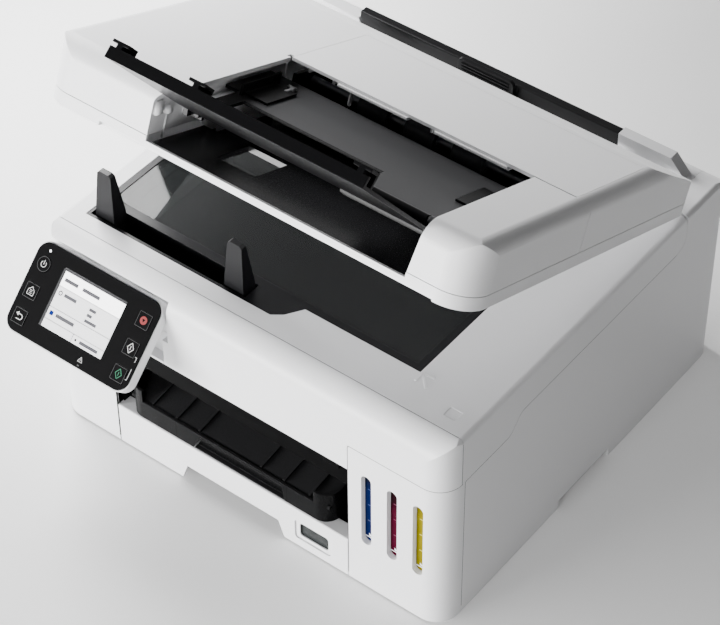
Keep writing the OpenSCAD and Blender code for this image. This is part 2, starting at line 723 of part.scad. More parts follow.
module cassette_tray() {
    x0 = cassette_x0 + 4;
    x1 = cassette_x1 - 4;
    z0 = floor_z + floor_t + gap;
    color(dark) from_front() difference() {
        union() {
            box([x0, cassette_front_d + gap, z0], [x1, cassette_d, z0 + 2]);
            for (x = [x0, x1 - 2]) box([x, cassette_front_d + gap, z0],
                [x + 2, cassette_d, cassette_top - 4]);
            for (y = [cassette_front_d + gap, cassette_d - 2]) box([x0, y, z0],
                [x1, y + 2, cassette_top - 8]);
            for (y = [70 : 40 : 300]) box([x0 + 14, y, z0], [x1 - 14, y + 2, z0 + 3]);
        }
        box([paper_x - 3 - gap, cassette_d - 130, z0 - 1], [paper_x + 3 + gap, cassette_d - 20, z0 + 4]);
    }
}
module cassette_guide() {
    z0 = floor_z + floor_t + gap + 5 + gap;
    color(dark) from_front() {
        box([paper_x - 30, cassette_d - 44, z0], [paper_x + 30, cassette_d - 30, z0 + 2]);
        box([paper_x - 24, cassette_d - 33, z0], [paper_x + 24, cassette_d - 30, cassette_top - 6]);
        box([paper_x - 3, cassette_d - 42, z0 - 4.5], [paper_x + 3, cassette_d - 32, z0 + 0.1]);
    }
}
module tray_outline(t) {
    rounded(tray_x0 + t, 1.2 + t, tray_x1 - t, tray_d, tray_corner_r - t, 0.5);
}
module tray_floor(drop, t) {
    // Side view of the sloping floor
    rise = (tray_d - 8) * tan(tray_slope);
    polygon([[4, tray_z + tray_wall_h - drop], [tray_d - 4, tray_z + tray_wall_h - drop + rise],
        [tray_d - 4, tray_z + tray_wall_h - drop + rise - t], [4, tray_z + tray_wall_h - drop - t]]);
}
module output_tray() {
    color(dark) from_front() difference() {
        union() {
            difference() {
                along_z(tray_z, tray_z + tray_post_h) tray_outline(0);
                along_z(tray_z - 1, tray_z + tray_post_h + 1) tray_outline(2.5);
                box([tray_x0 + tray_post_w, -1, tray_z + tray_wall_h],
                    [tray_x1 - tray_post_w, 12, tray_z + tray_post_h + 1]);
                box([tray_x0 - 1, 60, tray_z + tray_wall_h - 2],
                    [tray_x1 + 1, tray_d + 1, tray_z + tray_post_h + 1]);
                box([tray_x0 + 4, tray_d - 4, tray_z - 1],
                    [tray_x1 - 4, tray_d + 1, tray_z + tray_post_h + 1]);
            }
            along_x(tray_x0 + 2, tray_x1 - 2) tray_floor(0.4, 2.4);
            for (x = [tray_x0 + 22, tray_x0 + 46, tray_x0 + 68, tray_x1 - 68, tray_x1 - 46, tray_x1 - 22])
                along_x(x, x + 2) tray_floor(-1.2, 3);
            for (x = [grip_x0 - 6, grip_x1 + 4]) box([x, 4, tray_z],
                [x + 2, tray_d - 4, tray_z + tray_wall_h - 2]);
        }
        // Finger cut-out in the front wall
        along_y(-1, 4.2) polygon([[grip_x0, tray_z - 1], [grip_x0 + 8, tray_z + tray_wall_h - 3],
            [grip_x1 - 8 + 10, tray_z + tray_wall_h - 3], [grip_x1 + 4, tray_z - 1]]);
    }
}
module extension_front(h) {
    // Front view of the extension's face up to height h, a little smaller than the cut-out
    lean = 8 / (tray_wall_h - 2);
    polygon([[grip_x0 + 1.6, tray_z + gap], [grip_x0 + 1.3 + lean * h, tray_z + h],
        [grip_x1 + 3.2 - h / 9, tray_z + h], [grip_x1 + 3.2, tray_z + gap]]);
}
module output_extension() {
    color(black) from_front() {
        box([grip_x0 + 3.5, 8, tray_z + gap], [grip_x1 + 2.5, tray_d - 8, tray_z + 3]);
        // Front wall and lip, which fill the finger cut-out and pass through it
        along_y(5, 8.1) extension_front(tray_wall_h - 3.9);
        along_y(1.4, 5.1) extension_front(1.2);
        for (x = [grip_x0 + 10 : 12 : grip_x1 - 8]) box([x, 8, tray_z + 2.9],
            [x + 2, tray_d - 10, tray_z + 5]);
    }
}

// ---- Rear paper feed ----
module rear_feed_throat() {
    color(pale_grey) from_front() difference() {
        union() {
            box([-130, throat_y0, deck_z - 70], [107, throat_y0 + throat_d, deck_z + 0.5]);
            ridge_end(-hw + 1, support_x0 - gap, 7);
            // Strip under the paper support that joins the left end to the throat
            box([-hw + 10, throat_y0 + 1, deck_z + 0.1], [-130 + throat_wall, throat_y0 + 8, deck_z + 0.5]);
            ridge_end(support_x1 + gap, 162, ridge_h);
            box([-130, throat_y0, deck_z - 70], [107, body_d - wall - gap, deck_z - 66]);
        }
        box([-130 + throat_wall, throat_y0 + throat_wall, deck_z - 67],
            [107 - throat_wall, throat_y0 + throat_d - throat_wall, deck_z + 2]);
    }
}
module ridge_end(x0, x1, h) {
    slope = x0 > 0 ? 13 : 2;
    along_y(throat_y0, throat_y0 + 9.5)
        polygon([[x0, deck_z + 0.3], [x0, deck_z + h], [x1 - slope, deck_z + h], [x1, deck_z + 0.3]]);
}
module rear_paper_support() {
    y0 = throat_y0 + throat_wall + gap;
    color(dark) from_front() {
        along_x(support_x0, support_x1) topped(throat_y0, deck_z + 0.8, throat_y0 + 8.4,
            deck_z + ridge_h, 1, 2);
        along_x(paper_x - 34, paper_x + 19) topped(throat_y0 - 6, deck_z + 1.5, throat_y0 + 2,
            deck_z + ridge_h - 1.5, 3, 0.5);
        box([-120, y0, deck_z - 62], [97, y0 + 2.4, deck_z + 2]);
        for (x = [-118, 93]) box([x, y0, deck_z - 62],
            [x + 2, y0 + throat_d - 2 * throat_wall - 3 * gap, deck_z - 20]);
    }
}

// ---- Scanner housing ----
module frame_outline(t) {
    // Black surround of the glass, with the stopper's tongue at the front left
    rect(stopper_x0 + t, glass_y0 - frame_edge + t, glass_x1 + frame_edge - t, glass_y1 + frame_edge - t);
    rect(stopper_x0 + t, stopper_y0 + t, stopper_x1 - t, stopper_y1 + 10);
    polygon([[stopper_x1 - 3, stopper_y0 + t], [stopper_x1 - t, stopper_y0 + t],
        [stopper_x1 + 8 - t, stopper_y0 + 6 + t],
        [stopper_x1 + 17 - t, stopper_y1 + t], [stopper_x1 + 40, glass_y0 - frame_edge + t],
            [stopper_x1 + 40, stopper_y1 + 12],
        [stopper_x1 - 3, stopper_y1 + 12]]);
}
module top_deck() {
    color(white) from_front() difference() {
        intersection() {
            union() {
                shell();
                box([-hw + 1, deck_back_y - 2 * wall, seam_top_z + 1],
                    [hw - 1, deck_back_y - seam, deck_z]);
                for (x = [-hw + 1, hw - 1 - 10]) box([x, fascia_d + 1, deck_z - wall - 3],
                    [x + 10, deck_back_y - 1, deck_z - 1]);
            }
            envelope(0);
            upper_side();
            box([-hw - 1, fascia_d + seam / 2, 0], [hw + 1, body_d, deck_z + 1]);
        }
        along_z(deck_z - 8, deck_z + 1) frame_outline(-gap);
        box([stopper_x0 - gap, stopper_y0 - gap, deck_z - 40], [stopper_x1 - 20, stopper_y1 + gap, deck_z]);
        // Slots for the hinge arms in the rear wall
        for (s = [-1, 1]) box([s * hinge_x - hinge_arm_w / 2 - gap, deck_back_y - 3 * wall, 0],
            [s * hinge_x + hinge_arm_w / 2 + gap, deck_back_y + 1, deck_z + 1]);
        // Back edge that leans forward, so that it clears the rear cover as the housing is lifted
        along_x(-hw - 1, hw + 1) polygon([[deck_back_y - seam / 2, unit_hinge_z - 2],
            [deck_back_y + 3, unit_hinge_z - 2],
            [deck_back_y + 3, deck_z + 1], [deck_back_y - 2.6, deck_z + 1]]);
        // Shallow mark pressed into the deck beside the glass
        box([glass_x1 + 43.5, glass_y0 - 29.5, deck_z - 0.3], [glass_x1 + 53.5, glass_y0 - 20.5, deck_z + 1]);
    }
}
module fascia_zone() {
    box([-hw - 1, -1, seam_z + seam / 2], [hw + 1, fascia_d - seam / 2, deck_z + 1]);
    box([bay_edge_x, -1, slot_top], [slot_x1 - 0.2, fascia_d - seam / 2, seam_z + 1]);
}
panel_hinge_y = panel_top_y + panel_pivot[0] * sin(panel_tilt) - panel_pivot[1] * cos(panel_tilt);
panel_hinge_z = panel_top_z + panel_pivot[0] * cos(panel_tilt) + panel_pivot[1] * sin(panel_tilt);
module front_fascia() {
    color(white) from_front() difference() {
        union() {
            difference() {
                intersection() {
                    union() {
                        shell();
                        box([-hw + 0.5, 0.5, seam_z], [panel_room_x + wall, fascia_d - 1, deck_z]);
                        box([bay_edge_x, 1, slot_top], [bay_edge_x + wall, 12, seam_z + 2]);
                        box([bay_edge_x, 1, slot_top], [slot_x1 - 0.2, 3.6, slot_top + 2]);
                    }
                    envelope(0);
                    fascia_zone();
                }
                // Recess behind the panel, deeper where the upper edge of the panel swings
                box([-hw - 1, -2, slot_top - 1], [bay_edge_x, bay_recess_d, seam_z + 1]);
                along_x(-hw - 1, panel_room_x) polygon([[-2, seam_z], [bay_recess_d, seam_z],
                    [bay_recess_d, panel_hinge_z - 3], [panel_room_d, panel_hinge_z + 6],
                    [panel_room_d, panel_top_z + 2.2], [-2, panel_top_z + 2.2]]);
            }
            // Lugs of the panel hinge
            for (x = [panel_x0 + panel_hinge_x0 - 7, panel_x0 + panel_hinge_x1 + 2]) {
                rod_x(x, x + 5, panel_hinge_y, panel_hinge_z, panel_eye_r);
                box([x, panel_hinge_y, panel_hinge_z - panel_eye_r],
                    [x + 5, panel_room_d + 1, panel_hinge_z + panel_eye_r]);
            }
        }
        rod_x(panel_x0 + panel_hinge_x0 - 8, panel_x0 + panel_hinge_x1 + 8, panel_hinge_y, panel_hinge_z,
            2 + run);
    }
}
module scanner_pan() {
    y0 = fascia_d + 4;
    y1 = deck_back_y - 3 * wall - gap;
    color(dark) from_front() {
        difference() {
            box([-hw + wall + gap, y0, pan_z + 9], [hw - wall - gap, y1, deck_z - frame_t - 1]);
            box([-hw + wall + 3, y0 + 2, pan_z + 11], [hw - wall - 3, y1 - 2, deck_z]);
            box([stopper_x0 - 3, y0 - 1, pan_z + 8], [stopper_x1 - 18, stopper_y1 + 3, deck_z]);
        }
        box([stopper_x0 - 2, stopper_y1 + 1, pan_z + 9], [stopper_x1 - 18, stopper_y1 + 3, deck_z - 12]);
        // Rail of the scan carriage
        rod_x(-hw + wall + 2, hw - wall - 2, (glass_y0 + glass_y1) / 2, pan_z + 17, 3);
        for (s = [-1, 1]) difference() {
            union() {
                rod_x(s * hinge_x - hinge_arm_w / 2, s * hinge_x + hinge_arm_w / 2, lid_hinge_y,
                    lid_hinge_z, hinge_eye_r);
                rod_x(s * hinge_x - hinge_arm_w / 2, s * hinge_x + hinge_arm_w / 2, unit_hinge_y,
                    unit_hinge_z, hinge_eye_r);
                along_x(s * hinge_x - hinge_arm_w / 2, s * hinge_x + hinge_arm_w / 2) polygon([
                    [y1 - 1, pan_z + 12], [unit_hinge_y - 4, unit_hinge_z - 5],
                        [unit_hinge_y + 6, unit_hinge_z],
                    [lid_hinge_y + 6, lid_hinge_z], [lid_hinge_y - 6, lid_hinge_z],
                    [unit_hinge_y - 10, deck_z - 6], [y1 - 1, deck_z - 8]]);
            }
        }
        for (s = [-1, 1]) {
            rod_x(s * hinge_x - hinge_arm_w / 2 - lug_w, s * hinge_x + hinge_arm_w / 2 + lug_w,
                unit_hinge_y, unit_hinge_z, hinge_pin_r);
            rod_x(s * hinge_x - hinge_arm_w / 2 - 8, s * hinge_x + hinge_arm_w / 2 + 8, lid_hinge_y,
                lid_hinge_z, hinge_pin_r);
        }
    }
}
module platen_frame() {
    color(black) from_front() {
        difference() {
            union() {
                along_z(deck_z - frame_t, deck_z - 0.3) frame_outline(0);
                box([stopper_x0 + 1, stopper_y0 + 1, deck_z - 29], [-19, stopper_y1, deck_z - 1]);
            }
            box([glass_x0, glass_y0, deck_z - frame_t + 1], [glass_x1, glass_y1, deck_z + 1]);
            box([glass_x0 + 4, glass_y0 + 4, deck_z - frame_t - 1],
                [glass_x1 - 4, glass_y1 - 4, deck_z + 1]);
            // Trough that takes the folded fingers
            box([stopper_x0 + 2.5, stopper_y0 + 2.5, deck_z - 27], [-20.5, stopper_y1 - 1.5, deck_z + 1]);
        }
        for (x = [finger_left_x, finger_right_x])
            rod_y(stopper_y0 + 1.5, stopper_y1 - 1, x, finger_pivot_z, finger_pin_r);
    }
}
module platen_glass() {
    color([0.05, 0.06, 0.07]) from_front()
        box([glass_x0 + gap, glass_y0 + gap, deck_z - frame_t + 1 + 0.1],
            [glass_x1 - gap, glass_y1 - gap, deck_z - 0.8]);
}
module scan_carriage() {
    x0 = glass_x0 + 6;
    yc = (glass_y0 + glass_y1) / 2;
    color(dark) from_front() difference() {
        union() {
            along_y(glass_y0 + 6, glass_y1 - 6) topped(x0, pan_z + 21.5, x0 + 22, deck_z - frame_t - 1,
                2, 2);
            box([x0, yc - 8, pan_z + 14], [x0 + 22, yc + 8, pan_z + 22]);
        }
        rod_x(x0 - 1, x0 + 23, yc, pan_z + 17, 3 + run);
        box([x0 - 1, yc - 2.4, pan_z + 12], [x0 + 23, yc + 2.4, pan_z + 17]);
        box([x0 + 6, glass_y0 + 10, deck_z - frame_t - 2.2], [x0 + 16, glass_y1 - 10, deck_z]);
    }
}
module stopper_finger(x, lean) {
    top_z = deck_z + finger_h;
    half = finger_w / 2;
    tip = finger_top_w / 2;
    color(dark) from_front() difference() {
        intersection() {
            along_y(finger_y0, finger_y0 + finger_d) union() {
                translate([x, finger_pivot_z]) circle(half);
                polygon([[x - half + 0.8, finger_pivot_z - 3], [x - tip + lean, top_z - 2],
                    [x - tip + 2 + lean, top_z],
                    [x + tip - 2 + lean, top_z], [x + tip + lean, top_z - 2],
                    [x + half - 0.8, finger_pivot_z - 3]]);
            }
            along_x(x - 30, x + 30) polygon([[finger_y0, finger_pivot_z - half - 1],
                [finger_y0 + finger_d, finger_pivot_z - half - 1], [finger_y0 + finger_d, deck_z + 4],
                [finger_y0 + 6, top_z + 1], [finger_y0 + 1.5, top_z + 1]]);
        }
        rod_y(finger_y0 - 1, finger_y0 + finger_d + 1, x, finger_pivot_z, finger_pin_r + run);
    }
}
module stopper_finger_left() { stopper_finger(finger_left_x, 3); }
module stopper_finger_right() { stopper_finger(finger_right_x, 3); }

// ---- Control panel, drawn flat with its upper left corner at the origin ----
module at_panel() {
    from_front() translate([panel_x0, panel_top_y, panel_top_z]) rotate([90 - panel_tilt, 0, 0]) children();
}
module panel_outline(t) rounded(t, -panel_h + t, panel_w - t, -t, panel_corner_r - t, panel_corner_r - t);
module key_holes(g) {
    for (v = [key_v[1], key_v[2]]) square_key(left_key_u, v, key_w + 2 * g);
    for (v = key_v) square_key(right_key_u, v, key_w + 2 * g);
    translate([left_key_u, key_v[0]]) circle(key_w / 2 + g);
}
module square_key(u, v, w) rounded(u - w / 2, v - w / 2, u + w / 2, v + w / 2, 1.5, 1.5);
module panel_back() {
    color(white) at_panel() {
        difference() {
            along_z(-panel_t, -face_inset) panel_outline(0);
            along_z(-panel_t + 1.8, 1) panel_outline(2.2);
            along_z(-face_t, 1) panel_outline(face_inset - 0.15);
        }
        difference() {
            union() {
                rod_x(panel_hinge_x0, panel_hinge_x1, panel_pivot[0], panel_pivot[1], panel_eye_r);
                box([panel_hinge_x0, panel_pivot[0] - panel_eye_r, panel_pivot[1]],
                    [panel_hinge_x1, panel_pivot[0] + panel_eye_r, -panel_t + 0.5]);
            }
            // Hollow between the two hinge eyes
            box([panel_hinge_x0 + 8, panel_pivot[0] - 6, panel_pivot[1] - 6],
                [panel_hinge_x1 - 8, panel_pivot[0] + 6, -panel_t - 0.01]);
        }
        for (x = [panel_hinge_x0 - 7, panel_hinge_x1 - 2])
            rod_x(x, x + 9, panel_pivot[0], panel_pivot[1], 2);
        // Posts that carry the key switches
        for (u = [left_key_u, right_key_u]) for (v = key_v)
            rod_z(-panel_t + 1, -face_t - key_flange_t - key_travel - run, u, v, 2.5);
    }
}
module panel_face() {
    color(black) at_panel() difference() {
        along_z(-face_t, 0) panel_outline(face_inset);
        along_z(-7, 1) {
            rect(display_at[0] + 0.6, display_at[1] + 0.6, display_at[0] + display_w - 0.6,
                display_at[1] + display_h - 0.6);
            key_holes(gap);
            translate([left_key_u, -7]) circle(1.1);
        }
        along_z(-0.7, 1) rect(display_at[0] - gap, display_at[1] - gap,
            display_at[0] + display_w + gap, display_at[1] + display_h + gap);
    }
}
module panel_display() {
    color([0.85, 0.88, 0.90]) at_panel() {
        box([display_at[0], display_at[1], -0.7], [display_at[0] + display_w, display_at[1] + display_h,
            -0.15]);
        box([display_at[0] + 1, display_at[1] + 1, -5],
            [display_at[0] + display_w - 1, display_at[1] + display_h - 1, -0.6]);
    }
}
module square_button(u, v) {
    color(black) at_panel() {
        along_z(-face_t - key_flange_t, key_proud) square_key(u, v, key_w);
        along_z(-face_t - key_flange_t, -face_t - run) square_key(u, v, key_w + 2);
    }
}
module power_button() {
    color(black) at_panel() translate([left_key_u, key_v[0], -face_t - key_flange_t]) {
        cylinder(h = face_t + key_flange_t + key_proud, r = key_w / 2);
        cylinder(h = key_flange_t - run, r = key_w / 2 + 1);
    }
}
module home_button() { square_button(left_key_u, key_v[1]); }
module back_button() { square_button(left_key_u, key_v[2]); }
module stop_button() { square_button(right_key_u, key_v[0]); }
module black_start_button() { square_button(right_key_u, key_v[1]); }
module color_start_button() { square_button(right_key_u, key_v[2]); }

// ---- Lid, drawn closed and then swung open about its hinge ----
module at_lid() {
    from_front() translate([0, lid_hinge_y, lid_hinge_z]) rotate([-lid_open, 0, 0])
        translate([0, -lid_hinge_y, -lid_hinge_z]) children();
}
module lid_side(t) {
    intersection() {
        topped(lid_front_y + t, 0, lid_back_y - t, lid_top_z - t, lid_front_r - t, 3);
        polygon([[-20, 0], [-20, lid_top_z + 1 - t], [cover_y1 + 3 - 0.3 * t, lid_top_z + 1 - t],
            [lid_back_y + 1 - t, lid_top_z - 25 - t], [lid_back_y + 1 - t, 0]]);
    }
}
module lid_form(t, z0) {
    intersection() {
        along_z(z0, lid_top_z + 1) rounded(-lid_w / 2 + t, lid_front_y + t, lid_w / 2 - t, lid_back_y - t,
            lid_corner_r - t, lid_back_r - t);
        along_x(-lid_w / 2, lid_w / 2) lid_side(t);
        along_y(lid_front_y, lid_back_y) topped(-lid_w / 2 + t, 0, lid_w / 2 - t, lid_top_z - t,
            lid_edge_r - t, lid_edge_r - t);
    }
}
module bay(t, y1) {
    // The left arm has an upright inner wall that curves over under the top
    along_y(lid_front_y - 20, y1) {
        topped(bay_x0 - bay_draft0 - t, lid_z - 0.1, bay_shift, lid_top_z - 3.5 + t, bay_cove_r + t, 0.1);
        polygon([[bay_x0 - t, lid_z - 0.1], [bay_x1 - bay_draft1 + t, lid_z - 0.1],
            [bay_x1 + t, lid_top_z + 1], [bay_x0 - t, lid_top_z + 1]]);
    }
}
// Left wall of the feeder opening, and its right edge at height z
bay_wall_x = bay_x0 - bay_draft0;
function bay_right(z) = bay_x1 - bay_draft1 * (lid_top_z - z) / (lid_top_z - lid_z);

module lid_shell() {
    color(white) at_lid() difference() {
        lid_form(0, lid_seam_z + seam / 2);
        difference() {
            lid_form(wall, lid_seam_z - 1);
            bay(wall, bay_y1 + wall);
        }
        bay(0, bay_y1);
        // Opening for the feeder cover, paper mouths above and below the feeder tray
        box([cover_x0 - seam / 2, bay_y1 - 1, lid_top_z - 12],
            [cover_x1 + seam / 2, cover_y1 + seam / 2, lid_top_z + 1]);
        box([bay_x0 - 3.5, bay_y1 - 1, feed_tray_z - 1],
            [bay_right(feed_tray_z) - 2, bay_y1 + wall + 1, lid_top_z + 1]);
        box([bay_wall_x + 4, bay_y1 - 1, lid_z],
            [bay_right(out_floor_z) - 2, bay_y1 + wall + 1, out_floor_z + 15]);
        // Vertical joint of the feeder's side, and clearance for the hinge knuckles
        box([lid_w / 2 - 0.7, bay_y1 + 6, lid_seam_z], [lid_w / 2 + 1, bay_y1 + 6.6, lid_top_z - 1]);
    }
}
module lid_base() {
    color(white) at_lid() {
        difference() {
            lid_form_base(0, lid_z, lid_seam_z - seam / 2);
            lid_form_base(wall, lid_z + wall, lid_seam_z + 1);
            // Step for the fingers under the front edge, slots for the raised stopper fingers
            box([-130, lid_front_y - 1, lid_z - 1], [160, lid_front_y + wall, lid_z + 3.4]);
            finger_opening(finger_left_x, 0, lid_z - 1, lid_z + wall + 1);
            finger_opening(finger_right_x, finger_rim + gap, lid_z - 1, lid_z + wall + 1);
            bay_sill_cut();
        }
        // Rim between the two arms
        box([-132, lid_front_y + wall, lid_z], [162, lid_front_y + 2 * wall, lid_z + 4]);
        for (s = [-1, 1]) for (x = [s * hinge_x - hinge_arm_w / 2 - 8,
            s * hinge_x + hinge_arm_w / 2 + gap]) difference() {
            union() {
                rod_x(x, x + 8 - gap, lid_hinge_y, lid_hinge_z, hinge_eye_r);
                box([x, lid_back_y - 2 * wall, lid_z + 0.5], [x + 8 - gap, lid_hinge_y, lid_hinge_z + 3]);
            }
            rod_x(x - 1, x + 9, lid_hinge_y, lid_hinge_z, hinge_pin_r + run);
        }
    }
}
module lid_form_base(t, z0, z1) {
    along_z(z0, z1) rounded(-lid_w / 2 + t, lid_front_y + t, lid_w / 2 - t, lid_back_y - t,
        lid_corner_r - t, lid_back_r - t);
}
module bay_sill_cut() {
    box([bay_wall_x, lid_front_y - 1, lid_z + 6.5], [bay_right(lid_z + 8), 3, lid_seam_z + 1]);
}
// Opening in the lid for a raised stopper finger, widened by g
module finger_opening(x, g, z0, z1) box([x - 15 - g, finger_slot[0] - g, z0],
    [x + 19 + g, finger_slot[1] + g, z1]);
module output_floor() {
    z1 = lid_top_z - 10;
    color(black) at_lid() {
        difference() {
            union() {
                box([bay_wall_x + 1, lid_front_y + 2 * wall + gap, lid_z + wall + gap],
                    [bay_right(out_floor_z) - 1, cover_y1 - 6, out_floor_z + 1.8]);
                // Rim that lines the right finger opening down to the underside of the lid
                finger_opening(finger_right_x, finger_rim, lid_z + 0.2, out_floor_z + 1);
            }
            finger_opening(finger_right_x, 0, lid_z - 1, lid_z + 8);
        }
        // Frame of the sheet feeder
        difference() {
            for (x = [bay_x0 + 3, bay_x1 - 6]) box([x, bay_y1 + wall + gap, out_floor_z + 1],
                [x + 3, cover_y1 - 6, z1 - 2]);
            rod_x(bay_x0, bay_x1, bay_y1 + 26, lid_top_z - 20, shaft_r + run);
        }
        box([bay_x0 + 5, bay_y1 + wall + gap, out_floor_z + 17],
            [bay_x1 - 5, bay_y1 + 20, out_floor_z + 20]);
        box([bay_x0 + 5, cover_y1 - 20, out_floor_z + 1], [bay_x1 - 5, cover_y1 - 17, z1 - 8]);
    }
}
module feeder_roller() {
    color(rubber) at_lid() {
        rod_x(bay_x0 + 1.5, bay_x1 - 1.5, bay_y1 + 26, lid_top_z - 20, shaft_r);
        tyres(bay_y1 + 26, lid_top_z - 20, 8.5, 3, bay_shift - 55, 42, 26);
    }
}
module feeder_tray() {
    x0 = bay_wall_x + gap;
    x1 = bay_right(feed_tray_z - 3) - gap;
    color(dark) at_lid() difference() {
        union() {
            box([x0, bay_y0 + 1, feed_tray_z], [x1, bay_y1 - gap, feed_tray_z + 2.5]);
            box([x0, bay_y0 + 5.5, feed_tray_z - 3], [x1, bay_y0 + 8, feed_tray_z + 0.5]);
            for (x = [bay_x0 + 1, x1 - 4.2]) hinge_horn(x);
        }
        // Cut-out that gives room for the ejected sheets and the raised stopper
        box([bay_x0 + 11, bay_y0 - 5, feed_tray_z - 5], [bay_x1 - 80, bay_y0 + 53, feed_tray_z + 5]);
        box([x0 - 1, bay_y0 - 5, feed_tray_z - 5], [bay_x0 - 2, bay_y0 + 64, feed_tray_z + 5]);
        rod_x(x0 - 1, x1 + 1, bay_y0, flap_axis_z, 2 + run);
    }
}
module hinge_horn(x) {
    rod_x(x, x + 4, bay_y0, flap_axis_z, 4);
    box([x, bay_y0 - 4, feed_tray_z], [x + 4, bay_y0 + 4, flap_axis_z]);
}
module at_flap() {
    at_lid() translate([0, bay_y0, flap_axis_z]) rotate([flap_open, 0, 0]) translate([0, -bay_y0,
        -flap_axis_z]) children();
}
module feeder_flap() {
    x0 = bay_x0 + 0.8;
    x1 = bay_x1 - 2.6;
    color(dark) at_flap() {
        difference() {
            box([x0, bay_y0 - 2, lid_top_z - 3], [x1, flap_y1, lid_top_z - 0.4]);
            // Notches over the hinge horns of the tray
            for (x = [x0 - 1, x1 - 6]) box([x, bay_y0 - 5, lid_top_z - 12],
                [x + 7, bay_y0 + 5, lid_top_z + 1]);
        }
        rod_x(x0 + 6, x1 - 6, bay_y0, flap_axis_z, 4);
        box([x0 + 6, bay_y0 - 3, flap_axis_z], [x1 - 6, bay_y0 + 3, lid_top_z - 2.9]);
        rod_x(x0 + 1.5, x1 - 1.5, bay_y0, flap_axis_z, 2);
        // Channel along the free edge, with its end and middle brackets
        box([x0, flap_y1 - 2.6, lid_top_z - 9], [x1, flap_y1, lid_top_z - 2.9]);
        for (x = [x0, bay_shift - 42, x1 - 14]) flap_bracket(x, 14);
    }
}
module flap_bracket(x, w) {
    box([x, flap_y1 - 11.4, lid_top_z - 13], [x + w, flap_y1 - 9, lid_top_z - 2.9]);
    box([x, flap_y1 - 11.4, lid_top_z - 14], [x + w, flap_y1, lid_top_z - 11.8]);
    box([x + w / 3, flap_y1 - 9.4, lid_top_z - 12], [x + 2 * w / 3, flap_y1, lid_top_z - 2.9]);
}
module document_guide(x0, x1) {
    z0 = feed_tray_z + 2.5 + gap;
    color(dark) at_lid() {
        box([x0, bay_y0 + 58, z0], [x0 + 2, bay_y1 - 14.5, z0 + 9]);
        box([min(x0, x1), bay_y0 + 62, z0], [max(x0, x1), bay_y1 - 20, z0 + 1.6]);
    }
}
module document_guide_left() { document_guide(bay_x0 + 2.5, bay_x0 + 24); }
module document_guide_right() { document_guide(bay_x1 - 6.5, bay_x1 - 26); }
module feeder_cover() {
    color(white) at_lid() {
        intersection() {
            difference() {
                lid_form(0, lid_z);
                lid_form(cover_t, lid_z - 1);
            }
            box([cover_x0, bay_y1 + seam, lid_top_z - 12 + seam], [cover_x1, cover_y1, lid_top_z + 1]);
        }
        for (i = [0 : 8]) box([bay_x0 + 14 + i * 22, bay_y1 + 4, lid_top_z - 7],
            [bay_x0 + 15.5 + i * 22, cover_y1 - 6, lid_top_z - 2]);
        for (x = [bay_x0 + 44, bay_x0 + 130]) box([x, bay_y1 - 1.6, lid_top_z - 4.2],
            [x + 62, bay_y1 + 2, lid_top_z - 2.4]);
    }
}

base_frame();
feet();
left_side_cover();
right_side_cover();
rear_cover();
tank_cover();
slot_bezel();
ink_tank_black();
ink_tank_cyan();
ink_tank_magenta();
ink_tank_yellow();
tank_caps();
ink_tubes();
power_supply();
mains_inlet();
main_board();
maintenance_cartridge();
carriage_rail();
print_platen();
drive_motors();
carriage_belt();
rear_feed_throat();
cover_screws();
print_carriage();
feed_roller();
exit_roller();
pick_roller();
cassette_tray();
cassette_front();
cassette_window();
cassette_guide();
output_tray();
output_extension();
rear_paper_support();
top_deck();
front_fascia();
scanner_pan();
platen_frame();
platen_glass();
scan_carriage();
stopper_finger_left();
stopper_finger_right();
panel_back();
panel_face();
panel_display();
power_button();
home_button();
back_button();
stop_button();
black_start_button();
color_start_button();
lid_base();
lid_shell();
output_floor();
feeder_tray();
feeder_flap();
document_guide_left();
document_guide_right();
feeder_roller();
feeder_cover();
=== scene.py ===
# An office inkjet printer with ink tanks, its scanner lid standing open.
# One section for each piece or group of pieces, in the order in which the printer is put together.
import math

import bmesh
import bpy
from mathutils import Matrix, Vector


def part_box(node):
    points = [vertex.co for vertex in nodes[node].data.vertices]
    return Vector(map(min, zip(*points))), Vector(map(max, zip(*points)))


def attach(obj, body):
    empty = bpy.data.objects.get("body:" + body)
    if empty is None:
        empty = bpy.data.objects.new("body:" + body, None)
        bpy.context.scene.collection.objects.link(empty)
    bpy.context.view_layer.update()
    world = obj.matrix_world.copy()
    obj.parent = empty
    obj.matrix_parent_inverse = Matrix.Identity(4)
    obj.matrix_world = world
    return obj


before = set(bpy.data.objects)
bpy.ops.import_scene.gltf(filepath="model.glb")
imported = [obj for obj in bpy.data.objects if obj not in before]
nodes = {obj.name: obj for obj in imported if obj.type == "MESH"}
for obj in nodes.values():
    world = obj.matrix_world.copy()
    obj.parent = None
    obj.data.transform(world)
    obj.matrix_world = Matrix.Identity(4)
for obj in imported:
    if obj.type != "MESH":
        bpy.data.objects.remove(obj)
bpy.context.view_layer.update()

# ---- Table, light and camera ----
# The printer stands on a pale paper table that curves up far behind it and glows most towards its left.
# Large soft panels light it from the front left, the front, above its left side and faintly from the right.
mm = 0.001
# Where the front face of the body lies in the frame
front_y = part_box("left_side_cover")[0].y


def place(x, y, z):
    """A point given in millimetres from the middle of the body's front face, at table height."""
    return Vector((x * mm, front_y + y * mm, z * mm))


def shader(name):
    """A new material: itself, its node tree, its shader and the coordinates that stay with the object."""
    material = bpy.data.materials.new(name)
    material.use_nodes = True
    tree = material.node_tree
    coordinates = tree.nodes.new("ShaderNodeTexCoord")
    return material, tree, tree.nodes["Principled BSDF"], coordinates.outputs["Object"]


def feed(tree, socket, value):
    """Gives a socket a number, a colour or the output of another node."""
    if isinstance(value, bpy.types.NodeSocket):
        tree.links.new(value, socket)
    elif isinstance(value, tuple) and len(socket.default_value) == 4:
        socket.default_value = (*value, 1)
    else:
        socket.default_value = value


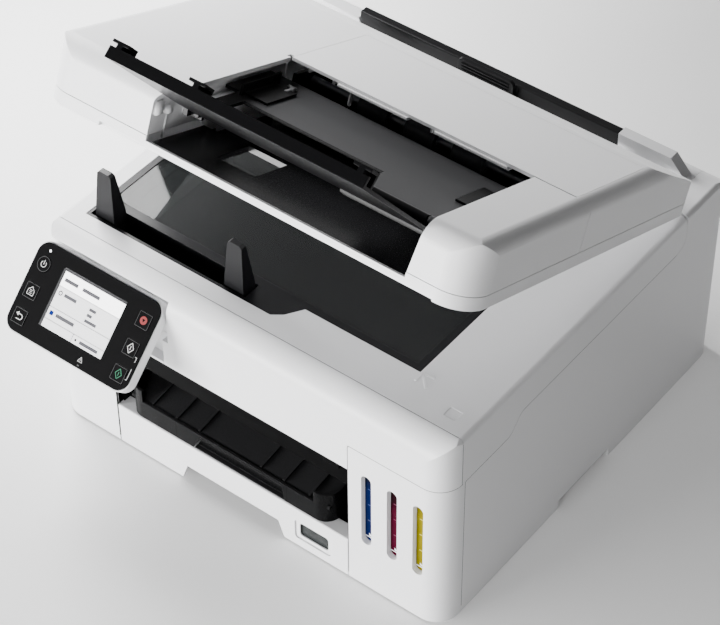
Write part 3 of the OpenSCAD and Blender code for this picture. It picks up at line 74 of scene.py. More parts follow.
def split(tree, vector):
    """The X, Y and Z outputs of a vector."""
    parts = tree.nodes.new("ShaderNodeSeparateXYZ")
    tree.links.new(vector, parts.inputs["Vector"])
    return parts.outputs


def calculated(tree, operation, first, second):
    """Two values added, multiplied or compared, as the operation says."""
    maths = tree.nodes.new("ShaderNodeMath")
    maths.operation = operation
    feed(tree, maths.inputs[0], first)
    feed(tree, maths.inputs[1], second)
    return maths.outputs["Value"]


def spread(tree, value, taken=(0, 1), given=(0, 1), smooth=False):
    """Carries a value from one range of numbers over to another."""
    ranges = tree.nodes.new("ShaderNodeMapRange")
    if smooth:
        ranges.interpolation_type = "SMOOTHSTEP"
    ranges.inputs["From Min"].default_value, ranges.inputs["From Max"].default_value = taken
    ranges.inputs["To Min"].default_value, ranges.inputs["To Max"].default_value = given
    tree.links.new(value, ranges.inputs["Value"])
    return ranges.outputs["Result"]


def add_object(name, mesh, material, body=None):
    """Puts a mesh in the scene, dressed and riding on its body."""
    thing = bpy.data.objects.new(name, mesh)
    bpy.context.scene.collection.objects.link(thing)
    thing.data.materials.append(material)
    if body:
        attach(thing, body)
    return thing


table_half, curve_start, curve_radius, curve_top, curve_steps = 6.0, 4.4, 1.2, 5.0, 12
rows = [(-table_half, 0.0), (curve_start, 0.0)]
for step in range(1, curve_steps + 1):
    turn = step * math.pi / 2 / curve_steps
    rows.append((curve_start + curve_radius * math.sin(turn), curve_radius - curve_radius * math.cos(turn)))
rows.append((curve_start + curve_radius, curve_top))
table_mesh = bpy.data.meshes.new("table")
table_points = [(x, y, z) for y, z in rows for x in (-table_half, table_half)]
table_faces = [(2 * i, 2 * i + 1, 2 * i + 3, 2 * i + 2) for i in range(len(rows) - 1)]
table_mesh.from_pydata(table_points, [], table_faces)
for polygon in table_mesh.polygons:
    polygon.use_smooth = True
table_paper, tree, paper, spot = shader("table_paper")
feed(tree, paper.inputs["Base Color"], (0.93, 0.93, 0.93))
feed(tree, paper.inputs["Emission Color"], (1, 1, 1))
feed(tree, paper.inputs["Roughness"], 0.8)
height = split(tree, spot)["Z"]
even_glow = spread(tree, height, (0, 0.5), (0.14, 0.05))
# The glow grows towards the left and the back, and only on the flat part of the table
leftwards = tree.nodes.new("ShaderNodeVectorMath")
leftwards.operation = "DOT_PRODUCT"
leftwards.inputs[1].default_value = (-0.94, 0.34, 0)
tree.links.new(spot, leftwards.inputs[0])
left_glow = spread(tree, leftwards.outputs["Value"], (0.2, 0.75), (0, 1.6), smooth=True)
flat_glow = calculated(tree, "MULTIPLY", left_glow, spread(tree, height, (0, 0.1), (1, 0)))
feed(tree, paper.inputs["Emission Strength"], calculated(tree, "ADD", even_glow, flat_glow))
table = add_object("table", table_mesh, table_paper)


def soft_panel(name, where, target, size, watts):
    """A rectangular light of a studio, turned towards its target."""
    lamp_data = bpy.data.lights.new(name, "AREA")
    lamp_data.shape = "RECTANGLE"
    lamp_data.size, lamp_data.size_y = size
    lamp_data.energy = watts
    lamp = bpy.data.objects.new(name, lamp_data)
    lamp.location = where
    lamp.rotation_euler = (Vector(target) - Vector(where)).to_track_quat("-Z", "Y").to_euler()
    bpy.context.scene.collection.objects.link(lamp)


soft_panel("panel_front_left", (-1.6, -2.7, 0.30), (0, 0, 0.15), (2.2, 0.5), 275)
soft_panel("panel_front", (0.35, -1.25, 0.40), (0.0, -0.05, 0.22), (0.5, 0.4), 8)
soft_panel("panel_upper_left", (-0.58, 0.12, 0.60), (-0.12, 0, 0.3), (0.4, 0.4), 15)
soft_panel("panel_right", (2.0, -1.2, 0.25), (0.1, 0, 0.05), (1.4, 0.4), 0.5)
world = bpy.data.worlds.new("studio")
bpy.context.scene.world = world
world.use_nodes = True
world.node_tree.nodes["Background"].inputs["Color"].default_value = (1, 1, 1, 1)
world.node_tree.nodes["Background"].inputs["Strength"].default_value = 0.05

# The picture's width and the focal length are in pixels, the sensor is in millimetres, the angles in degrees
picture_width, focal_length, sensor_width = 720, 2555.6, 36
camera_place = place(856.6, -949.1, 1472.6)
camera_turn, camera_dip, camera_roll = 36.944, 43.923, 0.319
camera_data = bpy.data.cameras.new("camera")
camera_data.sensor_width = sensor_width
camera_data.lens = sensor_width * focal_length / picture_width
camera_data.shift_x, camera_data.shift_y = -0.0497, -0.0441
camera = bpy.data.objects.new("camera", camera_data)
bpy.context.scene.collection.objects.link(camera)
camera.matrix_world = (
    Matrix.Translation(camera_place)
    @ Matrix.Rotation(math.radians(camera_turn), 4, "Z")
    @ Matrix.Rotation(math.radians(90 - camera_dip), 4, "X")
    @ Matrix.Rotation(math.radians(camera_roll), 4, "Z")
)
bpy.context.scene.camera = camera

# ---- Covers ----
# The body covers are injection moulded in white ABS with a fine spark-eroded texture.
# They clip over the base frame, and dark strips laid along their half-millimetre joints paint the shade that
# falls in them.


def mixed(tree, share, first, second, kind="MIX"):
    """A colour between two others, each a colour or the output of another node."""
    mixer = tree.nodes.new("ShaderNodeMixRGB")
    mixer.blend_type = kind
    feed(tree, mixer.inputs["Fac"], share)
    feed(tree, mixer.inputs["Color1"], first)
    feed(tree, mixer.inputs["Color2"], second)
    return mixer.outputs["Color"]


def noise(tree, spot, scale, detail=2):
    """Soft cloudy unevenness, finer with a larger scale."""
    cloud = tree.nodes.new("ShaderNodeTexNoise")
    cloud.inputs["Scale"].default_value = scale
    cloud.inputs["Detail"].default_value = detail
    tree.links.new(spot, cloud.inputs["Vector"])
    return cloud.outputs["Fac"]


def embossed(tree, surface, height, strength, distance, normal=None):
    """Raises a surface by a height that another node gives."""
    bump = tree.nodes.new("ShaderNodeBump")
    bump.inputs["Strength"].default_value = strength
    bump.inputs["Distance"].default_value = distance * mm
    tree.links.new(height, bump.inputs["Height"])
    if normal:
        tree.links.new(normal, bump.inputs["Normal"])
    tree.links.new(bump.outputs["Normal"], surface.inputs["Normal"])


def darker(colour, share):
    """A colour with this share of its light."""
    return tuple(c * share for c in colour)


def moulded(name, colour, roughness, grain=0.9, depth=0.05, edge=0.5, sheen_spread=0.05, shine=0.5,
        painted_light_floor_colour=None):
    """Moulded plastic: a fine even texture, slightly uneven gloss and softened edges."""
    material, tree, plastic, spot = shader(name)
    texture = noise(tree, spot, 1000 / grain, 3)
    tint = mixed(tree, noise(tree, spot, 14, 4), darker(colour, 0.975), colour)
    # Faces that look up can be given a lighter colour: painted light, for the fill that reaches a floor
    if painted_light_floor_colour:
        geometry = tree.nodes.new("ShaderNodeNewGeometry")
        painted_light_share = spread(tree, split(tree, geometry.outputs["Normal"])["Z"], (0.5, 0.9))
        tint = mixed(tree, painted_light_share, tint, painted_light_floor_colour)
    feed(tree, plastic.inputs["Base Color"], tint)
    gloss = (max(roughness - sheen_spread, 0.02), roughness + sheen_spread)
    feed(tree, plastic.inputs["Roughness"], spread(tree, texture, given=gloss))
    feed(tree, plastic.inputs["Specular IOR Level"], shine)
    rounding = tree.nodes.new("ShaderNodeBevel")
    rounding.samples = 6
    rounding.inputs["Radius"].default_value = edge * mm
    embossed(tree, plastic, texture, 0.25, depth, rounding.outputs["Normal"])
    return material


def dress(material, *names):
    """Gives CAD pieces their finish."""
    for name in names:
        mesh = nodes[name].data
        mesh.materials.clear()
        mesh.materials.append(material)


white_cover = moulded("white_cover", (0.80, 0.80, 0.81), 0.40, edge=0.6, shine=0.4)
dress(white_cover, "left_side_cover", "right_side_cover", "rear_cover", "tank_cover")


def bar(x0, y0, x1, y1):
    """A rectangle as a closed outline."""
    return [(x0, y0), (x1, y0), (x1, y1), (x0, y1)]


def on_circle(x, y, radius, degrees):
    """The point that lies this way from the middle of a circle."""
    angle = math.radians(degrees)
    return (x + radius * math.cos(angle), y + radius * math.sin(angle))


def arc(x, y, radius, width, start, end, steps=20):
    """Part of a ring as a row of short plates."""
    inner, outer = radius - width / 2, radius + width / 2
    turns = [start + (end - start) * i / steps for i in range(steps + 1)]
    return [[on_circle(x, y, inner, a), on_circle(x, y, outer, a), on_circle(x, y, outer, b),
        on_circle(x, y, inner, b)] for a, b in zip(turns, turns[1:])]


def raised(name, outlines, low, high, plane, material, body):
    """Flat marks of one thickness on a plane, each outline a closed plate."""
    shape = bmesh.new()
    for outline in outlines:
        face = shape.faces.new([shape.verts.new((x * mm, y * mm, low * mm)) for x, y in outline])
        lifted = bmesh.ops.extrude_face_region(shape, geom=[face], use_keep_orig=True)
        top = [item for item in lifted["geom"] if isinstance(item, bmesh.types.BMVert)]
        bmesh.ops.translate(shape, vec=(0, 0, (high - low) * mm), verts=top)
    bmesh.ops.recalc_face_normals(shape, faces=shape.faces)
    mesh = bpy.data.meshes.new(name)
    shape.to_mesh(mesh)
    shape.free()
    mesh.transform(plane)
    return add_object(name, mesh, material, body)


def front_plane(y):
    """A plane facing the front, with x to the right and the second value upwards."""
    return Matrix.Translation(place(0, y, 0)) @ Matrix.Rotation(math.pi / 2, 4, "X")


joint = 0.5
seam_height = 143.6
seam_low, seam_high = seam_height - joint / 2, seam_height + joint / 2
# Dark strips that paint the shade falling in the joints
painted_seam_shade = moulded("painted_seam_shade", (0.03, 0.03, 0.03), 0.9, shine=0.1)
# Painted shade along the left and top joints of the tank cover with the corner between them, and along the
# left joint of the cassette
joints_foot, corner_x, corner_height, corner_radius = 6, 103.2, 141.4, 2.25
front_joints = [
    bar(100.65, joints_foot, 101.2, corner_height),
    bar(corner_x, seam_low, 167, seam_high),
    bar(-124.6, joints_foot, -124.0, 118),
]
front_joints += arc(corner_x, corner_height, corner_radius, joint, 90, 180, 6)
raised("joint_foam_front", front_joints, -1.2, 0.03, front_plane(0), painted_seam_shade, "base")

# ---- Base frame and print engine ----
# The frame is moulded in charcoal ABS and carries a pressed steel rail for the print carriage.
# Its shafts are steel with rubber tyres, and the mains adapter stands at the back, left of the engine.
charcoal = moulded("charcoal_plastic", (0.012, 0.012, 0.013), 0.40, grain=1.1, depth=0.07, shine=0.2)
dress(charcoal, "base_frame", "print_carriage", "tank_caps", "mains_inlet", "print_platen")
matt_charcoal = moulded("adapter_plastic", (0.009, 0.009, 0.010), 0.52, grain=1.6, depth=0.12, shine=0.25)
dress(matt_charcoal, "power_supply", "maintenance_cartridge")
rubber = moulded("rubber", (0.022, 0.022, 0.023), 0.74, grain=0.5, depth=0.12, edge=0.8)
dress(rubber, "feet", "carriage_belt")


def steel_sheet(name, colour, roughness, stretch):
    """Steel with fine drawn lines along one direction."""
    material, tree, metal, spot = shader(name)
    metal.inputs["Metallic"].default_value = 1
    drawn = tree.nodes.new("ShaderNodeMapping")
    drawn.inputs["Scale"].default_value = stretch
    tree.links.new(spot, drawn.inputs["Vector"])
    lines = noise(tree, drawn.outputs["Vector"], 900, 4)
    feed(tree, metal.inputs["Base Color"], mixed(tree, lines, darker(colour, 0.82), colour))
    feed(tree, metal.inputs["Roughness"], spread(tree, lines, given=(roughness - 0.08, roughness + 0.1)))
    embossed(tree, metal, lines, 0.15, 0.02)
    return material


rail_steel = steel_sheet("rail_steel", (0.58, 0.59, 0.61), 0.34, (0.05, 1, 1))
dress(rail_steel, "carriage_rail")
turned_steel = steel_sheet("turned_steel", (0.50, 0.51, 0.53), 0.30, (1, 0.1, 1))
dress(turned_steel, "drive_motors", "cover_screws")
shaft_radius = 3
bare_steel, tyre_black = (0.48, 0.49, 0.51), (0.055, 0.055, 0.06)


def tyred_shaft(name, axis):
    """A steel shaft with rubber tyres: whatever stands further from the axis than the shaft is rubber."""
    material, tree, surface, spot = shader(name)
    parts = split(tree, spot)
    squares = []
    for output, middle in (("Y", axis.y), ("Z", axis.z)):
        away = calculated(tree, "SUBTRACT", parts[output], middle)
        squares.append(calculated(tree, "MULTIPLY", away, away))
    distance_squared = calculated(tree, "ADD", *squares)
    is_rubber = calculated(tree, "GREATER_THAN", distance_squared, ((shaft_radius + 0.3) * mm) ** 2)
    feed(tree, surface.inputs["Base Color"], mixed(tree, is_rubber, bare_steel, tyre_black))
    feed(tree, surface.inputs["Metallic"], spread(tree, is_rubber, given=(1, 0)))
    feed(tree, surface.inputs["Roughness"], spread(tree, is_rubber, given=(0.28, 0.7)))
    embossed(tree, surface, noise(tree, spot, 1500), 0.3, 0.05)
    return material


dress(tyred_shaft("feed_roller_rubber", place(0, 226, 84)), "feed_roller")
dress(tyred_shaft("exit_roller_rubber", place(0, 132, 85)), "exit_roller")
dress(tyred_shaft("pick_roller_rubber", place(0, 296, 47.6)), "pick_roller")

# ---- Control board and sockets ----
# The board is glass-epoxy with green solder resist, and fine copper tracks show through it.
# Its two data sockets are folded steel shells soldered at the back edge.
board_green, tree, lacquer, spot = shader("board_lacquer")
tracks = tree.nodes.new("ShaderNodeTexBrick")
tracks.inputs["Scale"].default_value = 160
tracks.inputs["Mortar Size"].default_value = 0.12
feed(tree, tracks.inputs["Color1"], (0.010, 0.105, 0.050))
feed(tree, tracks.inputs["Color2"], (0.012, 0.125, 0.058))
feed(tree, tracks.inputs["Mortar"], (0.035, 0.23, 0.10))
tree.links.new(spot, tracks.inputs["Vector"])
sockets_start, socket_steel = 348, (0.62, 0.62, 0.63)
at_sockets = calculated(tree, "GREATER_THAN", split(tree, spot)["Y"], place(0, sockets_start, 0).y)
feed(tree, lacquer.inputs["Base Color"], mixed(tree, at_sockets, tracks.outputs["Color"], socket_steel))
feed(tree, lacquer.inputs["Metallic"], at_sockets)
lacquer.inputs["Roughness"].default_value = 0.32
dress(board_green, "main_board")

# ---- Ink tanks ----
# Four clear polypropylene tanks stand behind the windows, and the ink shows through their walls.
# The wall behind each of the three colour windows is printed with fill marks and a small filling triangle.


def ink(name, colour, empty, full_height):
    """Ink behind a clear wall: darker above the ink level, with slow streaks in it."""
    material, tree, surface, spot = shader(name)
    fade = ((full_height - 9) * mm, (full_height + 9) * mm)
    above = spread(tree, split(tree, spot)["Z"], fade, smooth=True)
    swirl = noise(tree, spot, 60, 3)
    shade = mixed(tree, swirl, mixed(tree, above, colour, empty), (0.72, 0.72, 0.76), "MULTIPLY")
    feed(tree, surface.inputs["Base Color"], shade)
    surface.inputs["Roughness"].default_value = 0.16
    surface.inputs["Specular IOR Level"].default_value = 0.03
    embossed(tree, surface, swirl, 0.1, 0.3)
    return material


for node, name, colour, empty, full_height in (
        ("ink_tank_cyan", "blue_ink", (0.0010, 0.0065, 0.052), (0.0008, 0.0020, 0.010), 108),
        ("ink_tank_magenta", "magenta_ink", (0.060, 0.0002, 0.012), (0.014, 0.0002, 0.003), 100),
        ("ink_tank_yellow", "yellow_ink", (0.20, 0.165, 0.0002), (0.15, 0.12, 0.0002), 112),
        ("ink_tank_black", "black_ink", (0.008, 0.008, 0.010), (0.004, 0.004, 0.005), 100)):
    dress(ink(name, colour, empty, full_height), node)
clear_tube = moulded("ink_tube_plastic", (0.30, 0.31, 0.33), 0.24, grain=3, depth=0.02)
dress(clear_tube, "ink_tubes")


def print_ink(name, colour, roughness=0.45, glow=0.0):
    """Screen-printed ink with a faintly uneven coat."""
    material, tree, surface, spot = shader(name)
    coat = noise(tree, spot, 2500)
    feed(tree, surface.inputs["Base Color"], mixed(tree, coat, darker(colour, 0.88), colour))
    surface.inputs["Roughness"].default_value = roughness
    if glow:
        feed(tree, surface.inputs["Emission Color"], colour)
        surface.inputs["Emission Strength"].default_value = glow
    return material


window_plane = front_plane(4.4)
mark_heights, mark_half = (70.6, 87.5, 104), 0.4
triangle_foot, triangle_top, line_foot, line_top = 54.0, 56.6, 52.2, 53.0
for number, (middle, colour) in enumerate((
        (117.5, (0.014, 0.035, 0.12)), (140.5, (0.12, 0.010, 0.045)), (163.5, (0.55, 0.48, 0.05)))):
    fill_marks = [bar(middle - 1.6, z - mark_half, middle + 4.1, z + mark_half) for z in mark_heights]
    raised(f"fill_marks_{number}", fill_marks, -0.02, 0.12, window_plane,
        print_ink(f"fill_mark_{number}", colour, 0.3), "base")
    # The filling triangle and the line under it are white print, made to glow faintly: painted light
    triangle = [(middle - 0.6, triangle_foot), (middle + 2.6, triangle_foot), (middle - 0.6, triangle_top)]
    line = bar(middle - 4.2, line_foot, middle + 4.2, line_top)
    raised(f"filling_triangle_{number}", [triangle, line], -0.02, 0.14, window_plane,
        print_ink(f"triangle_white_painted_glow_{number}", (0.86, 0.88, 0.92), 0.35, glow=0.25), "base")

# ---- Rear of the body ----
# The rear cover is held by four recessed cross-head screws. Behind the scanner is a feed slot of grey ABS,
# and over it slides a black paper support, pulled up by a ribbed grip plate.
grey_cover = moulded("grey_cover", (0.66, 0.66, 0.67), 0.42)
dress(grey_cover, "rear_feed_throat")
support_black = moulded("support_black", (0.0062, 0.0062, 0.0068), 0.34, shine=0.2)
dress(support_black, "rear_paper_support")
shadow_black = moulded("shadow_black", (0.001, 0.001, 0.001), 0.6, shine=0.05)


def stroke(x0, y0, x1, y1, width):
    """A straight line of one width as a closed outline."""
    run, rise = x1 - x0, y1 - y0
    length = math.hypot(run, rise)
    across, up = -rise / length * width / 2, run / length * width / 2
    return [(x0 + across, y0 + up), (x0 - across, y0 - up), (x1 - across, y1 - up), (x1 + across, y1 + up)]


body_depth = 365
back_plane = (Matrix.Translation(place(0, body_depth, 0)) @ Matrix.Rotation(math.pi, 4, "Z")
    @ Matrix.Rotation(math.pi / 2, 4, "X"))
screw_x, cross_half, cross_width = 161, 1.5, 0.55
for side in (-1, 1):
    for z in (30, seam_height):
        x = -side * screw_x
        cross = [stroke(x - cross_half, z, x + cross_half, z, cross_width),
            stroke(x, z - cross_half, x, z + cross_half, cross_width)]
        raised(f"screw_cross_{side + 1}_{int(z)}", cross, -0.62, -0.18, back_plane, shadow_black, "base")
grip_plane = front_plane(330)
grip_ribs = [bar(-42, z, 3.5, z + 0.9) for z in (196.2, 199.2, 202.2, 205.2)]
raised("grip_ribs", grip_ribs, -0.2, 0.9, grip_plane, support_black, "rear_paper_support")
grip_left, grip_right, grip_foot, grip_top, grip_corner = -45.6, 7.4, 193.0, 209.5, 4
grip_plate = [(grip_left, grip_foot), (grip_right, grip_foot)]
for x, start in ((grip_right - grip_corner, 0), (grip_left + grip_corner, 90)):
    grip_plate += [on_circle(x, grip_top - grip_corner, grip_corner, start + 15 * i) for i in range(7)]
raised("grip_plate", [grip_plate], -3.2, 0, grip_plane, support_black, "rear_paper_support")

# ---- Paper cassette and output tray ----
# The cassette front is white ABS with a smoked window, whose pane is painted lighter towards its foot: a
# painted glow.
# Printed sheets land in a black tray with raised ribs, whose front wall has three split lines.
dress(white_cover, "cassette_front")
# The tray's floor is painted lighter than its walls: painted light for the fill that reaches it
tray_black = moulded("tray_black", (0.0022, 0.0022, 0.0024), 0.28, grain=0.7, depth=0.03, edge=0.7,
    shine=0.06, painted_light_floor_colour=(0.020, 0.020, 0.021))
dress(tray_black, "output_tray", "output_extension", "cassette_tray", "cassette_guide")
smoked_window, tree, pane, spot = shader("smoked_window")
parts = split(tree, spot)
pane_bottom, pane_top, recess_start = 13, 26, 2.2
# The pane is painted lighter towards its foot and darker towards its top: painted light
painted_glow_share = spread(tree, parts["Z"], (pane_top * mm, pane_bottom * mm))
smoked = mixed(tree, painted_glow_share, (0.004, 0.005, 0.005), (0.026, 0.029, 0.029))
in_recess = calculated(tree, "GREATER_THAN", parts["Y"], place(0, recess_start, 0).y)
feed(tree, pane.inputs["Base Color"], mixed(tree, in_recess, (0.80, 0.80, 0.81), smoked))
pane.inputs["Roughness"].default_value = 0.16
pane.inputs["Specular IOR Level"].default_value = 0.3
dress(smoked_window, "cassette_window")
split_lines = [bar(x - 0.3, 42.0, x + 0.3, 58.6) for x in (-65, 42)]
raised("tray_split_lines", split_lines, -0.05, 0.03, front_plane(1.2), shadow_black, "output_tray")
raised("extension_split_line", [bar(-12.3, 42.6, -11.7, 54.6)], -0.05, 0.03, front_plane(5), shadow_black,
    "output_extension")

# ---- Output slot ----
# A gloss black bezel of moulded ABS lines the slot from which the sheets come.
# It is clipped in behind the front covers, above the output tray.
gloss_black = moulded("gloss_black", (0.0012, 0.0012, 0.0013), 0.24, grain=2.5, depth=0.01,
    sheen_spread=0.03, shine=0.02)
dress(gloss_black, "slot_bezel")

# ---- Scanner housing ----
# The deck and fascia are white ABS round a black frame that holds a float glass plate.
# Dark strips paint the shade in the joint with the body, and an arrow moulded in the deck points at the
# corner of the glass.
dress(white_cover, "top_deck", "front_fascia")
dress(charcoal, "scanner_pan", "scan_carriage")
frame_black = moulded("frame_black", (0.006, 0.006, 0.007), 0.30, edge=0.6, shine=0.15)
dress(frame_black, "platen_frame")
scanner_glass, tree, glass, spot = shader("scanner_glass")
feed(tree, glass.inputs["Base Color"], (0.12, 0.13, 0.13))
feed(tree, glass.inputs["Roughness"], spread(tree, noise(tree, spot, 240, 5), given=(0.01, 0.06)))
glass.inputs["Specular IOR Level"].default_value = 0.2
glass.inputs["IOR"].default_value = 1.25
glass.inputs["Transmission Weight"].default_value = 0.92
dress(scanner_glass, "platen_glass")


def chain(points, width):
    """A line through several points, as one straight stroke after another."""
    return [stroke(*start, *end, width) for start, end in zip(points, points[1:])]


def deck_plane(z):
    """A level plane facing up, with x to the right and the second value towards the back."""
    return Matrix.Translation(place(0, 0, z))


half_width, deck_height, front_corner = 187, 189, 20
seam_shade_low, seam_shade_high = -1.4, -0.04


def side_plane(side):
    """A plane facing right (1) or left (-1): y first, then the height, turned over on the left."""
    turned = Matrix(((0, 0, side, 0), (1, 0, 0, 0), (0, side, 0, 0), (0, 0, 0, 1)))
    return Matrix.Translation(place(half_width * side, 0, 0)) @ turned


# The joint between body and housing steps up along each side
step_start, step_length, step_rise, step_count = 74, 19, 14.4, 8
deck_edge = [(23.2, seam_height), (step_start, seam_height)]
for step in range(1, step_count + 1):
    rise = step_rise * (1 - math.cos(math.pi * step / step_count)) / 2
    deck_edge.append((step_start + step_length * step / step_count, seam_height + rise))
deck_edge.append((291.5, seam_height + step_rise))
fascia_back, deck_front = 18.95, 19.45
# Painted shade along the joints on both sides, at the tank cover, round the fascia and at the front corner
for name, outlines, plane, body in (
        ("joint_foam_deck_right", chain(deck_edge, joint), side_plane(1), "base"),
        ("joint_foam_tank_cover", [bar(22.65, 8, 23.15, 143.3)], side_plane(1), "base"),
        ("joint_foam_fascia", [bar(fascia_back, 143.9, deck_front, 184.5)], side_plane(1), "scanner_unit"),
        ("joint_foam_deck_left", chain([(y, -z) for y, z in deck_edge], joint), side_plane(-1), "base")):
    raised(name, outlines, seam_shade_low, seam_shade_high, plane, painted_seam_shade, body)
corner_seam_shade = arc(half_width - front_corner, front_corner, 19.26, 1.4, -90, 0)
raised("joint_foam_corner", corner_seam_shade, 0, joint, deck_plane(seam_low), painted_seam_shade, "base")
fascia_top = [bar(-62, fascia_back, 182.5, deck_front)]
raised("joint_foam_fascia_top", fascia_top, seam_shade_low, seam_shade_high, deck_plane(deck_height), painted_seam_shade,
    "scanner_unit")
corner_arrow = chain([(126.6, 53.4), (126.8, 44.6)], 2.0) + chain([(127.6, 53.6), (136.6, 54.4)], 2.0)
corner_arrow += chain([(128.2, 52.2), (137.4, 43.2)], 2.2)
raised("corner_arrow", corner_arrow, -0.2, 0.35, deck_plane(deck_height), white_cover, "scanner_unit")

# ---- Sheet stoppers ----
# Two black fingers of glass-filled nylon hold the delivered sheets.
# They turn on short pins in a trough of the frame, and fold flat into it.
finger_black = moulded("finger_black", (0.0065, 0.0065, 0.0072), 0.32, shine=0.2)
dress(finger_black, "stopper_finger_left", "stopper_finger_right")

# ---- Control panel ----
# A black painted face with six keys and a colour display, in a white back that tilts on the fascia.
# The signs on the keys are screen-printed, and words are left off.
panel_lean = math.radians(45.4)
panel_matrix = Matrix.Translation(place(-187, 2.8, 180)) @ Matrix.Rotation(math.pi / 2 - panel_lean, 4, "X")
dress(white_cover, "panel_back")
panel_black = moulded("panel_black", (0.0048, 0.0048, 0.0050), 0.27, grain=0.35, depth=0.006, edge=0.4,
    sheen_spread=0.01, shine=0.08)
dress(panel_black, "panel_face", "power_button", "home_button", "back_button", "stop_button",
    "black_start_button", "color_start_button")
white_print = print_ink("white_print", (0.60, 0.60, 0.60))
# A grey for the painted highlight along the key edges, and for the unlit alarm lamp
edge_highlight_and_lamp_grey = print_ink("edge_highlight_and_lamp_grey", (0.045, 0.045, 0.047))
red_print = print_ink("red_print", (0.22, 0.012, 0.012))
green_print = print_ink("green_print", (0.010, 0.16, 0.075))
key_top = 0.4
sign_low, sign_high = -0.02, 0.05


def key_sign(name, outlines, material, body, low=sign_low, high=sign_high):
    """A mark on one of the keys, which moves with it: a printed sign, and also the painted highlight along
    its edge.
    """
    return raised(name, outlines, key_top + low, key_top + high, panel_matrix, material, body)


def panel_sign(name, outlines, material):
    """A sign printed on the face of the panel."""
    return raised(name, outlines, sign_low, sign_high, panel_matrix, material, "control_panel")


def outlined(x0, y0, x1, y1, width):
    """The four sides of a rectangle, drawn with a line of one width."""
    return chain([(x0, y0), (x1, y0), (x1, y1), (x0, y1), (x0, y0)], width)


def disc(x, y, radius, steps=28):
    """A round plate, or one with few corners, as a closed outline."""
    return [on_circle(x, y, radius, 360 * i / steps) for i in range(steps)]


left_u, right_u = 11.3, 109.3
top_v, middle_v, bottom_v = -18, -40.2, -61
# Each key's top is edged with a thin grey line: a painted highlight along its rounded edge
outline_half, outline_line = 5.6, 0.22
for body, u, v in (("home_button", left_u, middle_v), ("back_button", left_u, bottom_v),
        ("stop_button", right_u, top_v), ("black_start_button", right_u, middle_v),
        ("color_start_button", right_u, bottom_v)):
    key_sign(body + "_outline", outlined(u - outline_half, v - outline_half, u + outline_half,
        v + outline_half, outline_line), edge_highlight_and_lamp_grey, body)
key_sign("power_button_outline", arc(left_u, top_v, outline_half, 0.24, 0, 360, 40), edge_highlight_and_lamp_grey,
    "power_button")
power_sign = arc(left_u, top_v, 2.3, 0.46, 130, 410, 26)
power_sign += [bar(left_u - 0.23, top_v - 0.3, left_u + 0.23, top_v + 3.2)]
key_sign("power_sign", power_sign, white_print, "power_button")
house = [(-2.9, -3), (-2.9, 0.6), (0, 3.4), (2.9, 0.6), (2.9, -3), (-2.9, -3)]
home_sign = chain([(left_u + u, middle_v + v) for u, v in house], 0.40)
home_sign += [bar(left_u - 1.3, middle_v + v, left_u + 1.3, middle_v + v + 0.35) for v in (-1.8, -0.6, 0.6)]
key_sign("home_sign", home_sign, white_print, "home_button")
back_line = 0.58
back_sign = [stroke(left_u - 1.6, bottom_v + 1.7, left_u + 0.9, bottom_v + 1.7, back_line)]
back_sign += arc(left_u + 0.9, bottom_v - 0.3, 2.0, back_line, 90, -90, 14)
back_sign += [stroke(left_u + 0.9, bottom_v - 2.3, left_u - 2.2, bottom_v - 2.3, back_line)]
arrow_base = left_u - 1.3
back_sign += [[(left_u - 3.6, bottom_v + 1.7), (arrow_base, bottom_v + 3.5), (arrow_base, bottom_v - 0.1)]]
key_sign("back_sign", back_sign, white_print, "back_button")
key_sign("stop_sign", [disc(right_u, top_v, 3.1)], red_print, "stop_button")
stop_triangle = [(right_u - 1.4, top_v + 1.0), (right_u + 1.4, top_v + 1.0), (right_u, top_v - 1.5)]
key_sign("stop_triangle", [stop_triangle], panel_black, "stop_button", low=0.05, high=0.09)
start_line = 0.50
for name, v, sign_ink, body in (("black_start_sign", middle_v, white_print, "black_start_button"),
        ("color_start_sign", bottom_v, green_print, "color_start_button")):
    diamond = [(right_u, v + 3.9), (right_u + 2.9, v), (right_u, v - 3.9), (right_u - 2.9, v)]
    start_sign = chain(diamond + diamond[:1], start_line)
    start_sign += [stroke(right_u, v - 1.5, right_u, v + 1.5, start_line)]
    key_sign(name, start_sign, sign_ink, body)
bracket_tip, bracket_back, bracket_line = 116.0, 117.4, 0.34
bracket = chain([(bracket_tip, -44.4), (bracket_back, -44.4), (bracket_back, -48.0)], bracket_line)
bracket += chain([(bracket_back, -53.4), (bracket_back, -62.2), (bracket_tip, -62.2)], bracket_line)
panel_sign("start_bracket", bracket, white_print)
triangle = [(73.0, -68.0), (77.2, -68.0), (75.1, -64.2), (73.0, -68.0)]
panel_sign("alarm_sign", chain(triangle, 0.36) + [bar(74.95, -67.2, 75.25, -65.7)], white_print)
panel_sign("alarm_lamp", [bar(74.2, -71.3, 76.0, -70.3)], edge_highlight_and_lamp_grey)
lamp_white = print_ink("lamp_white", (0.95, 0.96, 1.0), 0.3, glow=1.6)
raised("power_lamp", [disc(11.7, -7, 1.0, 20)], -0.8, 0.02, panel_matrix, lamp_white, "control_panel")

# The display is a lit colour panel, and plain bars stand for what it says
display_u0, display_u1, display_v0, display_v1 = 31.3, 89.9, -58.6, -14.2
display_w, display_h = display_u1 - display_u0, display_v1 - display_v0
display_level = -0.15
screen_light = print_ink("screen_light", (0.70, 0.70, 0.71), 0.18, glow=1.5)
screen_white = print_ink("screen_white", (0.95, 0.95, 0.95), 0.18, glow=3.2)
screen_grey = print_ink("screen_grey", (0.10, 0.10, 0.11), 0.18)
screen_dark = print_ink("screen_dark", (0.012, 0.012, 0.013), 0.18)
screen_blue = print_ink("screen_blue", (0.006, 0.02, 0.16), 0.18)
dress(screen_light, "panel_display")


